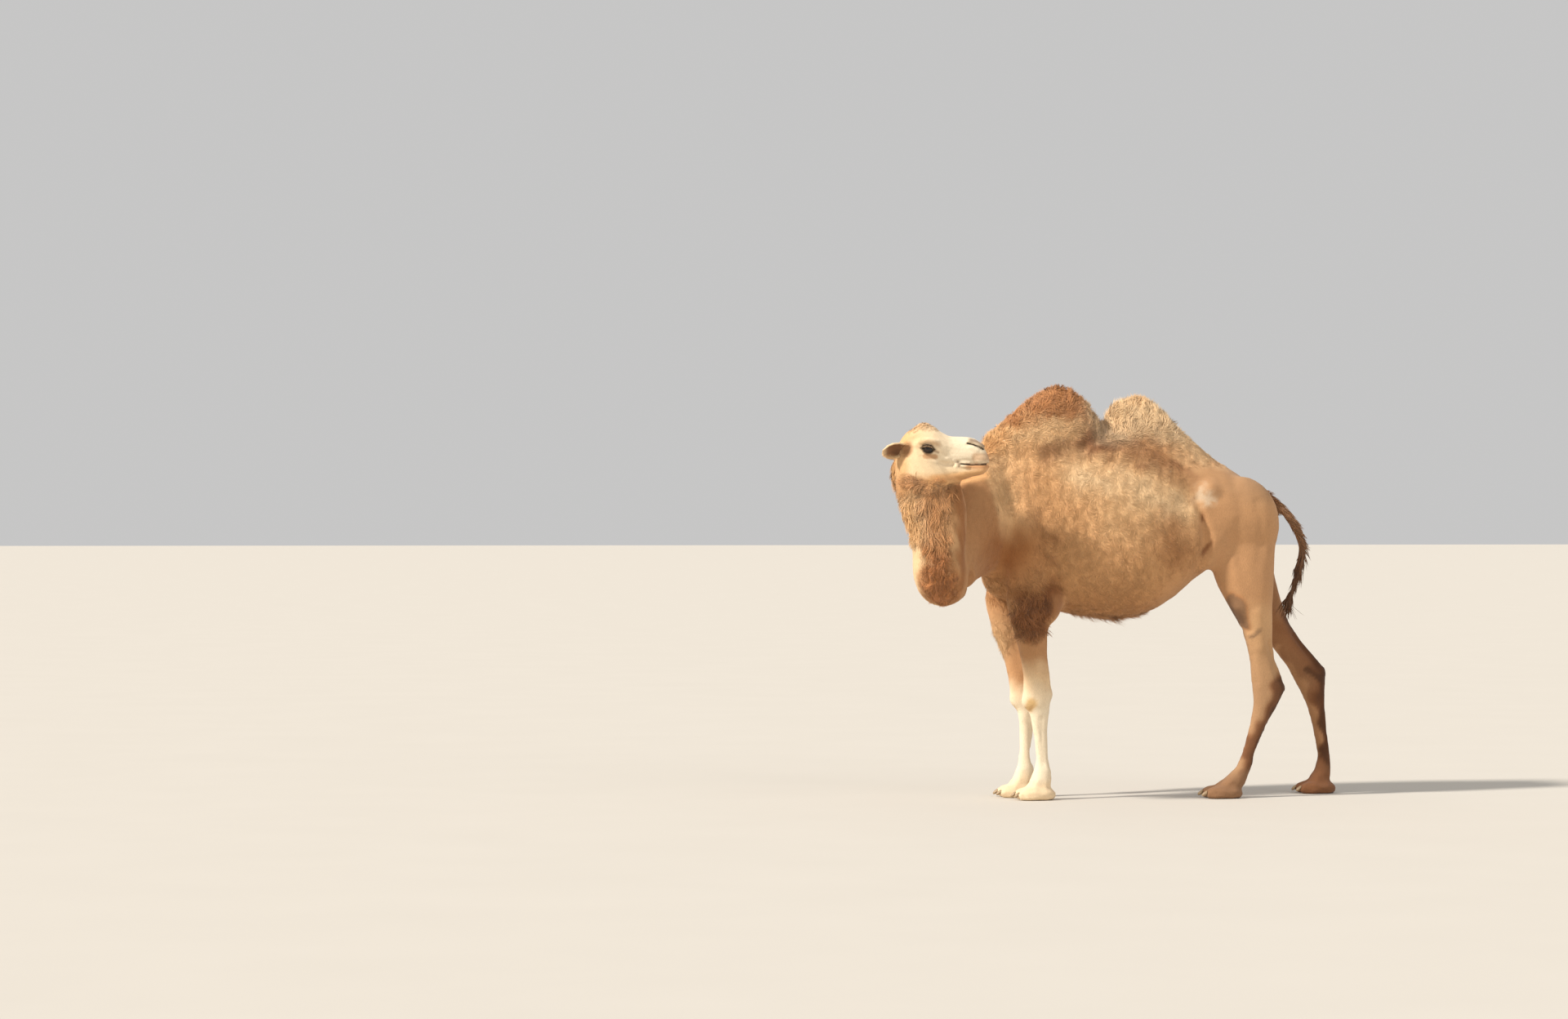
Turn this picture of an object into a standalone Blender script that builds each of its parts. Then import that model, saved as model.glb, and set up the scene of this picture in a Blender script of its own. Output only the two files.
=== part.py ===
"""A two-humped hybrid camel, life size, standing with its neck bent round and its head turned back.

Metres, +Z up. The animal faces -X, its left side is towards -Y, and its soles stand on Z = 0.
The flesh is laid up from lofts and lumps, fused by a voxel remesh, smoothed, thinned to a few
thousand faces and then parted into named pieces by thin cuts.
"""

import math

import bmesh
import bpy
from mathutils import Matrix, Vector

# ---------------------------------------------------------------- driving sizes
GAP = 0.0003  # clearance between neighbouring pieces
BODY_VOXEL = 0.008  # grain of the fused body
HEAD_VOXEL = 0.0045  # grain of the fused head
BODY_ROUNDS, HEAD_ROUNDS = 14, 4  # smoothing passes
BODY_FACES = 3700  # triangles kept on the body before it is parted
HEAD_FACES = 1350

LEFT, RIGHT = -1, 1  # the animal's sides, along Y
SIDE_NAME = {LEFT: "left", RIGHT: "right"}

HEAD_EYE_LEVEL = Vector((-0.996, -0.420, 1.695))  # midway between the eyes
HEAD_YAW = math.radians(-11)  # the muzzle points back along +X, a little outwards
EYE_RADIUS = 0.026
EYE_OUT = 0.071  # from the head's middle to an eye's centre

FOOT_LENGTH, FOOT_WIDTH, PAD_HEIGHT = 0.205, 0.160, 0.058
TOE_SPREAD = 0.038  # from the foot's middle to each toe's
BEYOND = 3.0  # a length that clears the whole animal

# Trunk sections, chest to rump: x, underline z, back z, half width, height of the widest place.
TRUNK = (
    (-0.660, 1.120, 1.520, 0.100, 1.32),
    (-0.620, 1.010, 1.660, 0.150, 1.34),
    (-0.540, 0.965, 1.740, 0.195, 1.34),
    (-0.420, 0.935, 1.770, 0.232, 1.32),
    (-0.270, 0.905, 1.780, 0.270, 1.26),
    (-0.120, 0.878, 1.790, 0.300, 1.22),
    (0.020, 0.866, 1.800, 0.314, 1.21),
    (0.150, 0.888, 1.800, 0.308, 1.23),
    (0.290, 0.962, 1.770, 0.284, 1.27),
    (0.420, 1.070, 1.715, 0.254, 1.33),
    (0.540, 1.140, 1.650, 0.232, 1.37),
    (0.660, 1.170, 1.570, 0.205, 1.36),
    (0.760, 1.190, 1.480, 0.155, 1.33),
    (0.812, 1.240, 1.400, 0.085, 1.31),
)

# Hump sections, foot to top: z, front x, back x, sideways lean, half width.
HUMP_FRONT = (
    (1.560, -0.600, 0.060, 0.000, 0.165),
    (1.640, -0.630, 0.050, 0.000, 0.168),
    (1.710, -0.650, 0.026, 0.000, 0.164),
    (1.770, -0.632, -0.006, -0.004, 0.152),
    (1.830, -0.558, -0.046, -0.008, 0.130),
    (1.890, -0.492, -0.084, -0.013, 0.108),
    (1.945, -0.424, -0.128, -0.018, 0.085),
    (1.990, -0.350, -0.190, -0.022, 0.056),
    (2.020, -0.292, -0.246, -0.024, 0.020),
)
HUMP_REAR = (
    (1.600, -0.100, 0.600, 0.000, 0.200),
    (1.700, -0.060, 0.478, 0.004, 0.160),
    (1.770, -0.044, 0.398, 0.010, 0.132),
    (1.830, -0.036, 0.336, 0.018, 0.112),
    (1.880, -0.026, 0.292, 0.025, 0.094),
    (1.930, 0.010, 0.234, 0.031, 0.072),
    (1.958, 0.078, 0.186, 0.034, 0.044),
    (1.971, 0.120, 0.148, 0.035, 0.012),
)

# Neck sections, chest to poll: x, y, z, half depth, half width, and the way the depth lies.
NECK = (
    (-0.440, 0.000, 1.420, 0.320, 0.190, 0.0, 0.0, 1.0),
    (-0.560, -0.025, 1.388, 0.322, 0.172, 0.0, 0.0, 1.0),
    (-0.660, -0.090, 1.345, 0.288, 0.156, 0.0, 0.0, 1.0),
    (-0.755, -0.185, 1.280, 0.240, 0.142, 0.0, 0.0, 1.0),
    (-0.840, -0.290, 1.175, 0.180, 0.128, 0.2, 0.2, 1.0),
    (-0.905, -0.385, 1.090, 0.150, 0.126, 0.4, 0.5, 0.8),
    (-0.945, -0.446, 1.110, 0.138, 0.124, 0.7, 0.6, 0.3),
    (-0.948, -0.448, 1.230, 0.137, 0.122, 0.9, 0.4, 0.0),
    (-0.960, -0.434, 1.370, 0.157, 0.120, 1.0, 0.0, 0.0),
    (-0.994, -0.424, 1.490, 0.162, 0.118, 1.0, 0.0, 0.2),
    (-1.035, -0.416, 1.590, 0.132, 0.108, 1.0, 0.0, 0.3),
    (-1.060, -0.412, 1.660, 0.104, 0.090, 1.0, 0.0, 0.3),
    (-1.068, -0.410, 1.715, 0.066, 0.062, 1.0, 0.0, 0.2),
)

# Foreleg sections, elbow to fetlock: z, x, depth, width, sideways place of the centre.
FORELEG = {
    LEFT: (
        (1.180, -0.440, 0.250, 0.130, 0.150),
        (1.060, -0.438, 0.245, 0.145, 0.150),
        (0.960, -0.440, 0.236, 0.150, 0.142),
        (0.880, -0.436, 0.205, 0.138, 0.134),
        (0.800, -0.428, 0.172, 0.120, 0.128),
        (0.700, -0.412, 0.142, 0.104, 0.120),
        (0.600, -0.397, 0.140, 0.100, 0.114),
        (0.520, -0.393, 0.146, 0.112, 0.110),
        (0.465, -0.394, 0.138, 0.112, 0.108),
        (0.415, -0.382, 0.104, 0.088, 0.106),
        (0.330, -0.377, 0.078, 0.062, 0.104),
        (0.220, -0.368, 0.066, 0.056, 0.102),
        (0.160, -0.366, 0.080, 0.074, 0.100),
        (0.115, -0.370, 0.106, 0.092, 0.100),
        (0.060, -0.384, 0.118, 0.100, 0.100),
    ),
    RIGHT: (
        (1.180, -0.455, 0.250, 0.130, 0.150),
        (1.060, -0.470, 0.245, 0.145, 0.150),
        (0.960, -0.482, 0.236, 0.150, 0.142),
        (0.880, -0.482, 0.205, 0.138, 0.134),
        (0.800, -0.474, 0.172, 0.120, 0.128),
        (0.700, -0.447, 0.142, 0.104, 0.118),
        (0.600, -0.425, 0.140, 0.100, 0.112),
        (0.520, -0.412, 0.144, 0.110, 0.106),
        (0.465, -0.404, 0.138, 0.110, 0.102),
        (0.415, -0.394, 0.106, 0.088, 0.100),
        (0.330, -0.400, 0.078, 0.062, 0.098),
        (0.220, -0.406, 0.068, 0.056, 0.096),
        (0.160, -0.408, 0.080, 0.074, 0.095),
        (0.115, -0.412, 0.104, 0.092, 0.095),
        (0.060, -0.424, 0.118, 0.100, 0.095),
    ),
}
# Hind leg sections, hip to fetlock: z, x, depth, width, sideways place of the centre.
HIND_LEG = {
    LEFT: (
        (1.420, 0.620, 0.330, 0.120, 0.120),
        (1.280, 0.628, 0.345, 0.165, 0.125),
        (1.150, 0.628, 0.332, 0.180, 0.132),
        (1.040, 0.642, 0.290, 0.172, 0.140),
        (0.940, 0.666, 0.228, 0.152, 0.142),
        (0.850, 0.694, 0.176, 0.128, 0.138),
        (0.760, 0.714, 0.140, 0.106, 0.130),
        (0.670, 0.732, 0.138, 0.092, 0.122),
        (0.590, 0.754, 0.164, 0.092, 0.115),
        (0.525, 0.766, 0.166, 0.094, 0.112),
        (0.460, 0.753, 0.134, 0.086, 0.112),
        (0.390, 0.728, 0.106, 0.070, 0.114),
        (0.300, 0.696, 0.088, 0.060, 0.118),
        (0.210, 0.662, 0.076, 0.056, 0.122),
        (0.150, 0.638, 0.084, 0.072, 0.124),
        (0.105, 0.612, 0.098, 0.084, 0.125),
        (0.055, 0.580, 0.116, 0.096, 0.125),
    ),
    RIGHT: (
        (1.420, 0.640, 0.330, 0.120, 0.120),
        (1.280, 0.658, 0.345, 0.165, 0.125),
        (1.150, 0.696, 0.326, 0.180, 0.132),
        (1.040, 0.744, 0.284, 0.170, 0.140),
        (0.940, 0.798, 0.232, 0.150, 0.142),
        (0.850, 0.854, 0.190, 0.126, 0.138),
        (0.760, 0.918, 0.180, 0.106, 0.130),
        (0.680, 0.983, 0.190, 0.092, 0.122),
        (0.615, 1.030, 0.190, 0.094, 0.116),
        (0.555, 1.046, 0.162, 0.094, 0.112),
        (0.490, 1.064, 0.122, 0.084, 0.112),
        (0.400, 1.084, 0.090, 0.066, 0.116),
        (0.290, 1.105, 0.074, 0.058, 0.122),
        (0.200, 1.120, 0.070, 0.056, 0.126),
        (0.150, 1.120, 0.080, 0.072, 0.128),
        (0.105, 1.114, 0.094, 0.084, 0.130),
        (0.055, 1.094, 0.114, 0.096, 0.130),
    ),
}
# Feet: toe-end x and sideways place of the middle of the sole.
FORE_FOOT = {LEFT: (-0.500, 0.100), RIGHT: (-0.546, 0.095)}
HIND_FOOT = {LEFT: (0.430, 0.125), RIGHT: (0.982, 0.130)}

# Pad and toe: how far behind the foot's middle, height, and half sizes in shares of the foot's.
PAD = (0.018, 0.022, (0.41, 0.47, 0.78))
TOE = (-0.030, 0.024, (0.37, 0.27, 0.66))
# Instep, from the ankle over the arch to the toes: half depth, half width and the depth's lean forwards.
INSTEP = ((0.044, 0.046, 1), (0.036, 0.052, 0), (0.024, 0.056, 0))
ARCH_HEIGHT, TOE_HEIGHT = 0.062, 0.036
INSTEP_END = 0.060  # how far behind the toe's end the instep stops
# Nail, root to tip: how far behind the toe's end, height, half depth and half width.
NAIL = (
    (0.034, 0.032, 0.012, 0.015),
    (0.010, 0.028, 0.012, 0.014),
    (-0.006, 0.020, 0.009, 0.011),
    (-0.013, 0.013, 0.004, 0.006),
)

# Muscle lumps on each side: centre x, distance from the middle, z, half sizes, lean in degrees.
SHOULDER = ((-0.420, 0.150, 1.320), (0.155, 0.085, 0.280), 14)
ELBOW_WOOL = ((-0.395, 0.140, 0.985), (0.130, 0.084, 0.160), 0)
HAUNCH = ((0.630, 0.125, 1.350), (0.190, 0.100, 0.230), -10)
BUTTOCK = ((0.725, 0.085, 1.250), (0.085, 0.085, 0.200), 0)
FLANK = ((0.420, 0.140, 1.270), (0.160, 0.112, 0.165), 20)
MUSCLES = (SHOULDER, ELBOW_WOOL, HAUNCH, BUTTOCK, FLANK)

# Skull and muzzle sections, poll to nose: forward, lower edge, upper edge, half width, widest height.
SKULL = (
    (-0.140, -0.060, 0.026, 0.040, 0.000),
    (-0.112, -0.090, 0.070, 0.064, 0.010),
    (-0.070, -0.100, 0.105, 0.076, 0.018),
    (-0.027, -0.105, 0.129, 0.083, 0.014),
    (0.023, -0.106, 0.116, 0.083, 0.008),
    (0.062, -0.100, 0.086, 0.074, 0.000),
    (0.105, -0.090, 0.064, 0.058, -0.012),
    (0.150, -0.080, 0.062, 0.051, -0.018),
    (0.200, -0.074, 0.058, 0.050, -0.016),
    (0.236, -0.073, 0.045, 0.049, -0.022),
    (0.262, -0.072, 0.018, 0.045, -0.030),
    (0.281, -0.070, -0.014, 0.036, -0.042),
    (0.293, -0.062, -0.040, 0.018, -0.050),
)
# Lower jaw sections, throat to lip.
JAW = (
    (-0.070, -0.150, -0.040, 0.050, -0.080),
    (-0.020, -0.172, -0.050, 0.064, -0.090),
    (0.035, -0.176, -0.056, 0.066, -0.100),
    (0.085, -0.170, -0.060, 0.057, -0.105),
    (0.135, -0.160, -0.066, 0.047, -0.108),
    (0.180, -0.147, -0.070, 0.042, -0.108),
    (0.215, -0.134, -0.072, 0.041, -0.104),
    (0.255, -0.126, -0.073, 0.038, -0.100),
    (0.278, -0.112, -0.074, 0.029, -0.094),
    (0.289, -0.098, -0.080, 0.014, -0.088),
)
MOUTH_LEVEL = -0.0725  # the lower jaw is parted along this height below the eyes
MOUTH_CORNER = 0.142  # and forward of here
# Lumps on each side of the head: forward, outward and up places, and half sizes.
BROW = ((0.000, 0.070, 0.032), (0.050, 0.028, 0.020))
CHEEK = ((-0.010, 0.046, -0.085), (0.075, 0.034, 0.072))
NOSTRIL_WING = ((0.232, 0.034, 0.012), (0.038, 0.017, 0.020))
LIP_CORNER = ((0.160, 0.034, -0.080), (0.042, 0.014, 0.018))
UPPER_LIP = ((0.250, 0.026, -0.044), (0.040, 0.024, 0.026))
FACE = (BROW, CHEEK, NOSTRIL_WING, LIP_CORNER, UPPER_LIP)

# Ear: a cupped leaf, its root in head axes, the way it points and the way its hollow faces.
EAR_LENGTH, EAR_WIDTH, EAR_WALL = 0.146, 0.088, 0.009
EAR_LEAF = (0.480, 0.690, 0.880, 0.930, 0.760, 0.320)  # its breadth from root to tip, in shares of EAR_WIDTH
EAR_WRAP = 100  # degrees the leaf curls round to each side
EAR_CUP = 0.75  # depth of the hollow, in half breadths
EAR_THINNING = 0.45  # share of the wall lost by the tip
EAR_SUNK = 0.015  # length of root inside the head
EAR_ROOT = Vector((-0.096, 0.062, 0.000))
EAR_POINTS = Vector((-0.87, 0.46, -0.15))
EAR_HOLLOW = Vector((0.30, 0.86, -0.36))

# Where the pieces part.
KNEE, FETLOCK = 0.425, 0.108  # heights
HOCK = {LEFT: 0.470, RIGHT: 0.505}
FORELEG_CUT = (-0.43, 0.10, 0.94), (0.02, 0.50, -0.85)  # a point at one side, and the slant outwards
FORELEG_REACH = (-0.80, -0.262)  # and the stretch of the body it is kept to
HIND_LEG_CUT = (0.62, 0.10, 1.185), (0.22, 0.30, -0.88)
HIND_LEG_REACH = (0.44, 1.30)
# Each slanting cut of the neck has its block beside it, whose low and high corners lie in the cut's axes.
NECK_BEND_CUT = (-0.935, -0.440, 1.150), (-0.30, -0.65, 0.70)
NECK_BEND_BLOCK = (-0.30, -0.45, 0.0), (0.30, 0.45, 0.80)
NECK_ROOT_CUT = (-0.690, -0.115, 1.300), (-0.80, -0.58, -0.15)
NECK_ROOT_BLOCK = (-0.40, -0.45, 0.0), (0.40, 0.45, 0.70)
THROAT_CUT = (-1.000, -0.424, 1.500), (-0.25, 0.05, 0.95)
NECK_END_BLOCK = (-0.30, -0.30, 0.0), (0.30, 0.30, 0.50)
HEAD_BLOCK = (-0.50, -0.50, 0.0), (0.50, 0.50, 0.50)
JAW_BLOCK = (MOUTH_CORNER, -0.10, -0.30), (0.40, 0.10, MOUTH_LEVEL)
HUMP_FOOT, HUMP_NOTCH = 1.735, -0.045
FRONT_HUMP_BLOCK = (-0.80, -0.30, HUMP_FOOT), (HUMP_NOTCH, 0.40, 2.20)
REAR_HUMP_BLOCK = (HUMP_NOTCH + GAP, -0.40, HUMP_FOOT), (0.70, 0.40, 2.20)
TAIL_CUT = 1.212

# Tail sections, root to tip: x, y, z, half thickness, half width and the way the thickness lies.
TAIL = (
    (0.690, 0.000, 1.470, 0.050, 0.048, 0.0, 0, 1.0),
    (0.780, -0.002, 1.470, 0.052, 0.046, 0.4, 0, 1.0),
    (0.850, -0.004, 1.428, 0.046, 0.038, 0.7, 0, 0.8),
    (0.915, -0.008, 1.355, 0.044, 0.034, 1.0, 0, 0.5),
    (0.955, -0.012, 1.270, 0.041, 0.033, 1.0, 0, 0.2),
    (0.963, -0.017, 1.210, 0.040, 0.032, 1.0, 0, 0.0),
    (0.961, -0.018, 1.170, 0.040, 0.033, 1.0, 0, 0.0),
    (0.948, -0.022, 1.105, 0.038, 0.032, 1.0, 0, -0.3),
    (0.922, -0.028, 1.035, 0.030, 0.026, 1.0, 0, -0.4),
    (0.898, -0.032, 0.975, 0.016, 0.014, 1.0, 0, -0.4),
    (0.886, -0.034, 0.942, 0.006, 0.006, 1.0, 0, -0.4),
)

PALE, SAND, RUST = (0.78, 0.67, 0.50), (0.62, 0.46, 0.30), (0.50, 0.28, 0.14)
COLOURS = {
    "pale_hair": (PALE, 0.8),
    "body_wool": (SAND, 0.9),
    "rust_wool": (RUST, 0.9),
    "leg_hair": ((0.66, 0.55, 0.42), 0.8),
    "tail_hair": ((0.30, 0.17, 0.10), 0.7),
    "eye": ((0.03, 0.02, 0.015), 0.1),
    "nail": ((0.36, 0.30, 0.22), 0.5),
}


# ---------------------------------------------------------------- small tools
def clear_scene():
    for obj in list(bpy.data.objects):
        bpy.data.objects.remove(obj)


def material(name):
    """The named hair, eye or nail material, made once."""
    found = bpy.data.materials.get(name)
    if found:
        return found
    colour, roughness = COLOURS[name]
    made = bpy.data.materials.new(name)
    made.use_nodes = True
    shader = made.node_tree.nodes["Principled BSDF"]
    shader.inputs["Base Color"].default_value = (*colour, 1)
    shader.inputs["Roughness"].default_value = roughness
    shader.inputs["Metallic"].default_value = 0.0
    return made


def mesh_object(name, bm):
    mesh = bpy.data.meshes.new(name)
    bm.to_mesh(mesh)
    bm.free()
    obj = bpy.data.objects.new(name, mesh)
    bpy.context.scene.collection.objects.link(obj)
    return obj


def remove(*objects):
    for obj in objects:
        bpy.data.objects.remove(obj)


def apply_modifiers(obj):
    """Replaces obj's mesh by what its modifiers make of it."""
    bpy.context.view_layer.update()
    graph = bpy.context.evaluated_depsgraph_get()
    mesh = bpy.data.meshes.new_from_object(obj.evaluated_get(graph))
    obj.modifiers.clear()
    obj.data = mesh


def between(rows, steps):
    """Rows of numbers with smooth in-betweens: a Catmull-Rom curve through every column."""
    made = []
    last = len(rows) - 1
    for i in range(last):
        a, b, c, d = (rows[min(max(k, 0), last)] for k in (i - 1, i, i + 1, i + 2))
        for step in range(steps):
            t = step / steps
            made.append(
                tuple(
                    0.5 * (2 * q + (r - p) * t + (2 * p - 5 * q + 4 * r - s) * t**2
                           + (3 * q - p - 3 * r + s) * t**3)
                    for p, q, r, s in zip(a, b, c, d)
                )
            )
    made.append(tuple(rows[-1]))
    return made


def oval(count, power=2.0):
    """Points of a rounded oval of half sizes 1, as (across, up). A power over 2 is boxier."""
    points = []
    for i in range(count):
        angle = 2 * math.pi * i / count
        c, s = math.cos(angle), math.sin(angle)
        points.append((math.copysign(abs(c) ** (2 / power), c), math.copysign(abs(s) ** (2 / power), s)))
    return points


def loft(name, rings):
    """A closed skin over rings of points, with a fan over each end ring."""
    bm = bmesh.new()
    loops = [[bm.verts.new(p) for p in ring] for ring in rings]
    count = len(loops[0])
    for low, high in zip(loops, loops[1:]):
        for i in range(count):
            j = (i + 1) % count
            bm.faces.new((low[i], low[j], high[j], high[i]))
    for ring in (loops[0], loops[-1]):
        middle = bm.verts.new(sum((v.co for v in ring), Vector()) / count)
        for i in range(count):
            bm.faces.new((ring[i], ring[(i + 1) % count], middle))
    bmesh.ops.recalc_face_normals(bm, faces=bm.faces)
    return mesh_object(name, bm)


def lengthwise_loft(name, sections, steps=3, sides=28, power=2.15):
    """Loft along X from rows of x, low z, high z, half width and the widest place's z."""
    rings = []
    for x, low, high, half, mid in between(sections, steps):
        rings.append(
            [(x, half * c, mid + s * ((high - mid) if s > 0 else (mid - low))) for c, s in oval(sides, power)]
        )
    return loft(name, rings)


def upright_loft(name, sections, sides=20, steps=3):
    """Loft up Z from rows of z, front x, back x, y and half width."""
    rings = []
    for z, front, back, y, width in between(sections, steps):
        middle, length = (front + back) / 2, (back - front) / 2
        rings.append([(middle + length * c, y + width * s, z) for c, s in oval(sides, 2.2)])
    return loft(name, rings)


def bent_loft(name, sections, sides=20, steps=4):
    """Loft square to its own path from rows of x, y, z, half depth, half width and the depth's direction."""
    rows = between(sections, steps)
    places = [Vector(row[:3]) for row in rows]
    rings = []
    for i, row in enumerate(rows):
        way = (places[min(i + 1, len(rows) - 1)] - places[max(i - 1, 0)]).normalized()
        across = way.cross(Vector(row[5:])).normalized()
        deep = across.cross(way)
        rings.append([places[i] + across * (row[4] * c) + deep * (row[3] * s) for c, s in oval(sides)])
    return loft(name, rings)


def lump(name, centre, half_sizes, lean=0.0):
    """An egg-shaped mass, leaned by some degrees about Y."""
    bm = bmesh.new()
    bmesh.ops.create_icosphere(bm, subdivisions=3, radius=1.0)
    place = (
        Matrix.Translation(centre)
        @ Matrix.Rotation(math.radians(lean), 4, "Y")
        @ Matrix.Diagonal((*half_sizes, 1))
    )
    bmesh.ops.transform(bm, matrix=place, verts=bm.verts)
    return mesh_object(name, bm)


def box(name, low, high):
    bm = bmesh.new()
    bmesh.ops.create_cube(bm, size=1.0)
    centre = [(a + b) / 2 for a, b in zip(low, high)]
    size = [b - a for a, b in zip(low, high)]
    bmesh.ops.transform(bm, matrix=Matrix.Translation(centre) @ Matrix.Diagonal((*size, 1)), verts=bm.verts)
    return mesh_object(name, bm)


def below(height):
    """The corners of a box that holds all there is below some height."""
    return (-BEYOND, -BEYOND, -BEYOND), (BEYOND, BEYOND, height)


def fuse(name, lumps, voxel, rounds, faces):
    """Makes one clay-like body of overlapping lumps, smooths it and thins it to about so many faces."""
    bm = bmesh.new()
    for obj in lumps:
        bm.from_mesh(obj.data)
    remove(*lumps)
    whole = mesh_object(name, bm)
    remesh = whole.modifiers.new("Remesh", "REMESH")
    remesh.mode = "VOXEL"
    remesh.voxel_size = voxel
    smooth = whole.modifiers.new("Smooth", "SMOOTH")
    smooth.factor = 0.5
    smooth.iterations = rounds
    apply_modifiers(whole)
    thin = whole.modifiers.new("Thin", "DECIMATE")
    thin.ratio = faces / (2 * len(whole.data.polygons))
    apply_modifiers(whole)
    return whole


def boolean(obj, other, operation):
    """Cuts, joins or keeps what obj shares with other."""
    cut = obj.modifiers.new("Cut", "BOOLEAN")
    cut.operation = operation
    cut.solver = "EXACT"
    cut.object = other
    apply_modifiers(obj)
    return obj


def copy_of(obj, name):
    made = bpy.data.objects.new(name, obj.data.copy())
    bpy.context.scene.collection.objects.link(made)
    return made


def part_off(source, name, low, high, place=Matrix.Identity(4)):
    """Parts from source what lies within a placed box, by a thin cut all round it, and returns it."""
    block = box("block", low, high)
    block.data.transform(place)
    piece = boolean(copy_of(source, name), block, "INTERSECT")
    wider = box("wider", [a - GAP for a in low], [b + GAP for b in high])
    wider.data.transform(place)
    boolean(source, wider, "DIFFERENCE")
    remove(block, wider)
    return piece


def facing(point, normal):
    """The place of a box whose Z axis points along normal from point, and whose X axis lies level."""
    way = Vector(normal).normalized()
    across = Vector((0, 0, 1)).cross(way)
    across = across.normalized() if across.length > 0.001 else Vector((1, 0, 0))
    turn = Matrix((across, way.cross(across), way)).transposed().to_4x4()
    return Matrix.Translation(point) @ turn


def fit_against(piece, neighbour):
    """Cuts piece back to meet its neighbour with the clearance between them."""
    grown = copy_of(neighbour, "grown")
    swell = grown.modifiers.new("Swell", "DISPLACE")
    swell.strength = GAP
    swell.mid_level = 0.0
    apply_modifiers(grown)
    boolean(piece, grown, "DIFFERENCE")
    remove(grown)
    return piece


def keep_largest(obj):
    """Drops chips that a cut left beside the main piece."""
    bm = bmesh.new()
    bm.from_mesh(obj.data)
    bmesh.ops.remove_doubles(bm, verts=bm.verts, dist=1e-6)
    left, groups = set(bm.verts), []
    while left:
        group, edge = set(), [left.pop()]
        while edge:
            vert = edge.pop()
            group.add(vert)
            for link in vert.link_edges:
                other = link.other_vert(vert)
                if other in left:
                    left.remove(other)
                    edge.append(other)
        groups.append(group)
    biggest = max(groups, key=len)
    bmesh.ops.delete(bm, geom=[v for v in bm.verts if v not in biggest], context="VERTS")
    bm.to_mesh(obj.data)
    bm.free()
    return obj


def finish(obj, slot):
    """Names the finished piece's material and shades its rounds smooth."""
    keep_largest(obj)
    obj.data.name = obj.name
    obj.data.materials.clear()
    obj.data.materials.append(material(slot))
    obj.data.shade_smooth()
    obj.data.set_sharp_from_angle(angle=math.radians(40))
    return obj


# ---------------------------------------------------------------- body
def leg_column(name, sections, side):
    rows = [(z, x - depth / 2, x + depth / 2, side * out, width / 2) for z, x, depth, width, out in sections]
    return upright_loft(name, rows, sides=16)


def foot_lumps(toe_x, out, side):
    """Two broad toes over a soft pad; the sole is cut flat later."""
    y = side * out
    middle = toe_x + FOOT_LENGTH / 2
    lumps = []
    for (back, height, shares), steps in ((PAD, (0,)), (TOE, (-1, 1))):
        half_sizes = (FOOT_LENGTH * shares[0], FOOT_WIDTH * shares[1], PAD_HEIGHT * shares[2])
        for step in steps:
            lumps.append(lump("pad", (middle + back, y + step * TOE_SPREAD, height), half_sizes))
    return lumps


def instep(toe_x, out, side, ankle_x, ankle_z):
    """The slope from the fetlock down to the toes."""
    end = toe_x + INSTEP_END
    places = ((ankle_x, ankle_z), ((ankle_x + end) / 2, ARCH_HEIGHT), (end, TOE_HEIGHT))
    rows = [(x, side * out, z, deep, wide, lean, 0, 1) for (x, z), (deep, wide, lean) in zip(places, INSTEP)]
    return bent_loft("instep", rows, sides=14)


def body_lumps():
    lumps = [
        lengthwise_loft("trunk", TRUNK),
        upright_loft("hump", HUMP_FRONT),
        upright_loft("hump", HUMP_REAR),
        bent_loft("neck", NECK),
    ]
    for side in (LEFT, RIGHT):
        lumps.append(leg_column("foreleg", FORELEG[side], side))
        lumps.append(leg_column("hind", HIND_LEG[side], side))
        for centre, sizes, lean in MUSCLES:
            lumps.append(lump("muscle", (centre[0], side * centre[1], centre[2]), sizes, lean))
        for foot, leg in ((FORE_FOOT, FORELEG), (HIND_FOOT, HIND_LEG)):
            lumps += foot_lumps(*foot[side], side)
            ankle_z, ankle_x = leg[side][-2][:2]
            lumps.append(instep(*foot[side], side, ankle_x, ankle_z))
    return lumps


def cut_soles(body):
    """Every sole stands flat on the floor."""
    floor = box("floor", *below(0.0))
    boolean(body, floor, "DIFFERENCE")
    remove(floor)


# ---------------------------------------------------------------- head
def head_matrix():
    """From the head's axes (forward, left, up) to the world's."""
    return Matrix.Translation(HEAD_EYE_LEVEL) @ Matrix.Rotation(HEAD_YAW, 4, "Z")


def head_lumps():
    lumps = [lengthwise_loft("skull", SKULL, sides=24), lengthwise_loft("jaw", JAW, sides=20)]
    for side in (-1, 1):
        for centre, sizes in FACE:
            lumps.append(lump("feature", (centre[0], side * centre[1], centre[2]), sizes))
    for obj in lumps:
        obj.data.transform(head_matrix())
    lumps.append(bent_loft("neck", NECK[-6:]))
    return lumps


def eyeball(side):
    """side is -1 for the animal's right, as the head's own left is +Y."""
    bm = bmesh.new()
    bmesh.ops.create_uvsphere(bm, u_segments=14, v_segments=8, radius=EYE_RADIUS)
    name = "eye_left" if side > 0 else "eye_right"
    eye = mesh_object(name, bm)
    eye.data.transform(head_matrix() @ Matrix.Translation((0, side * EYE_OUT, 0)))
    return eye


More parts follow.
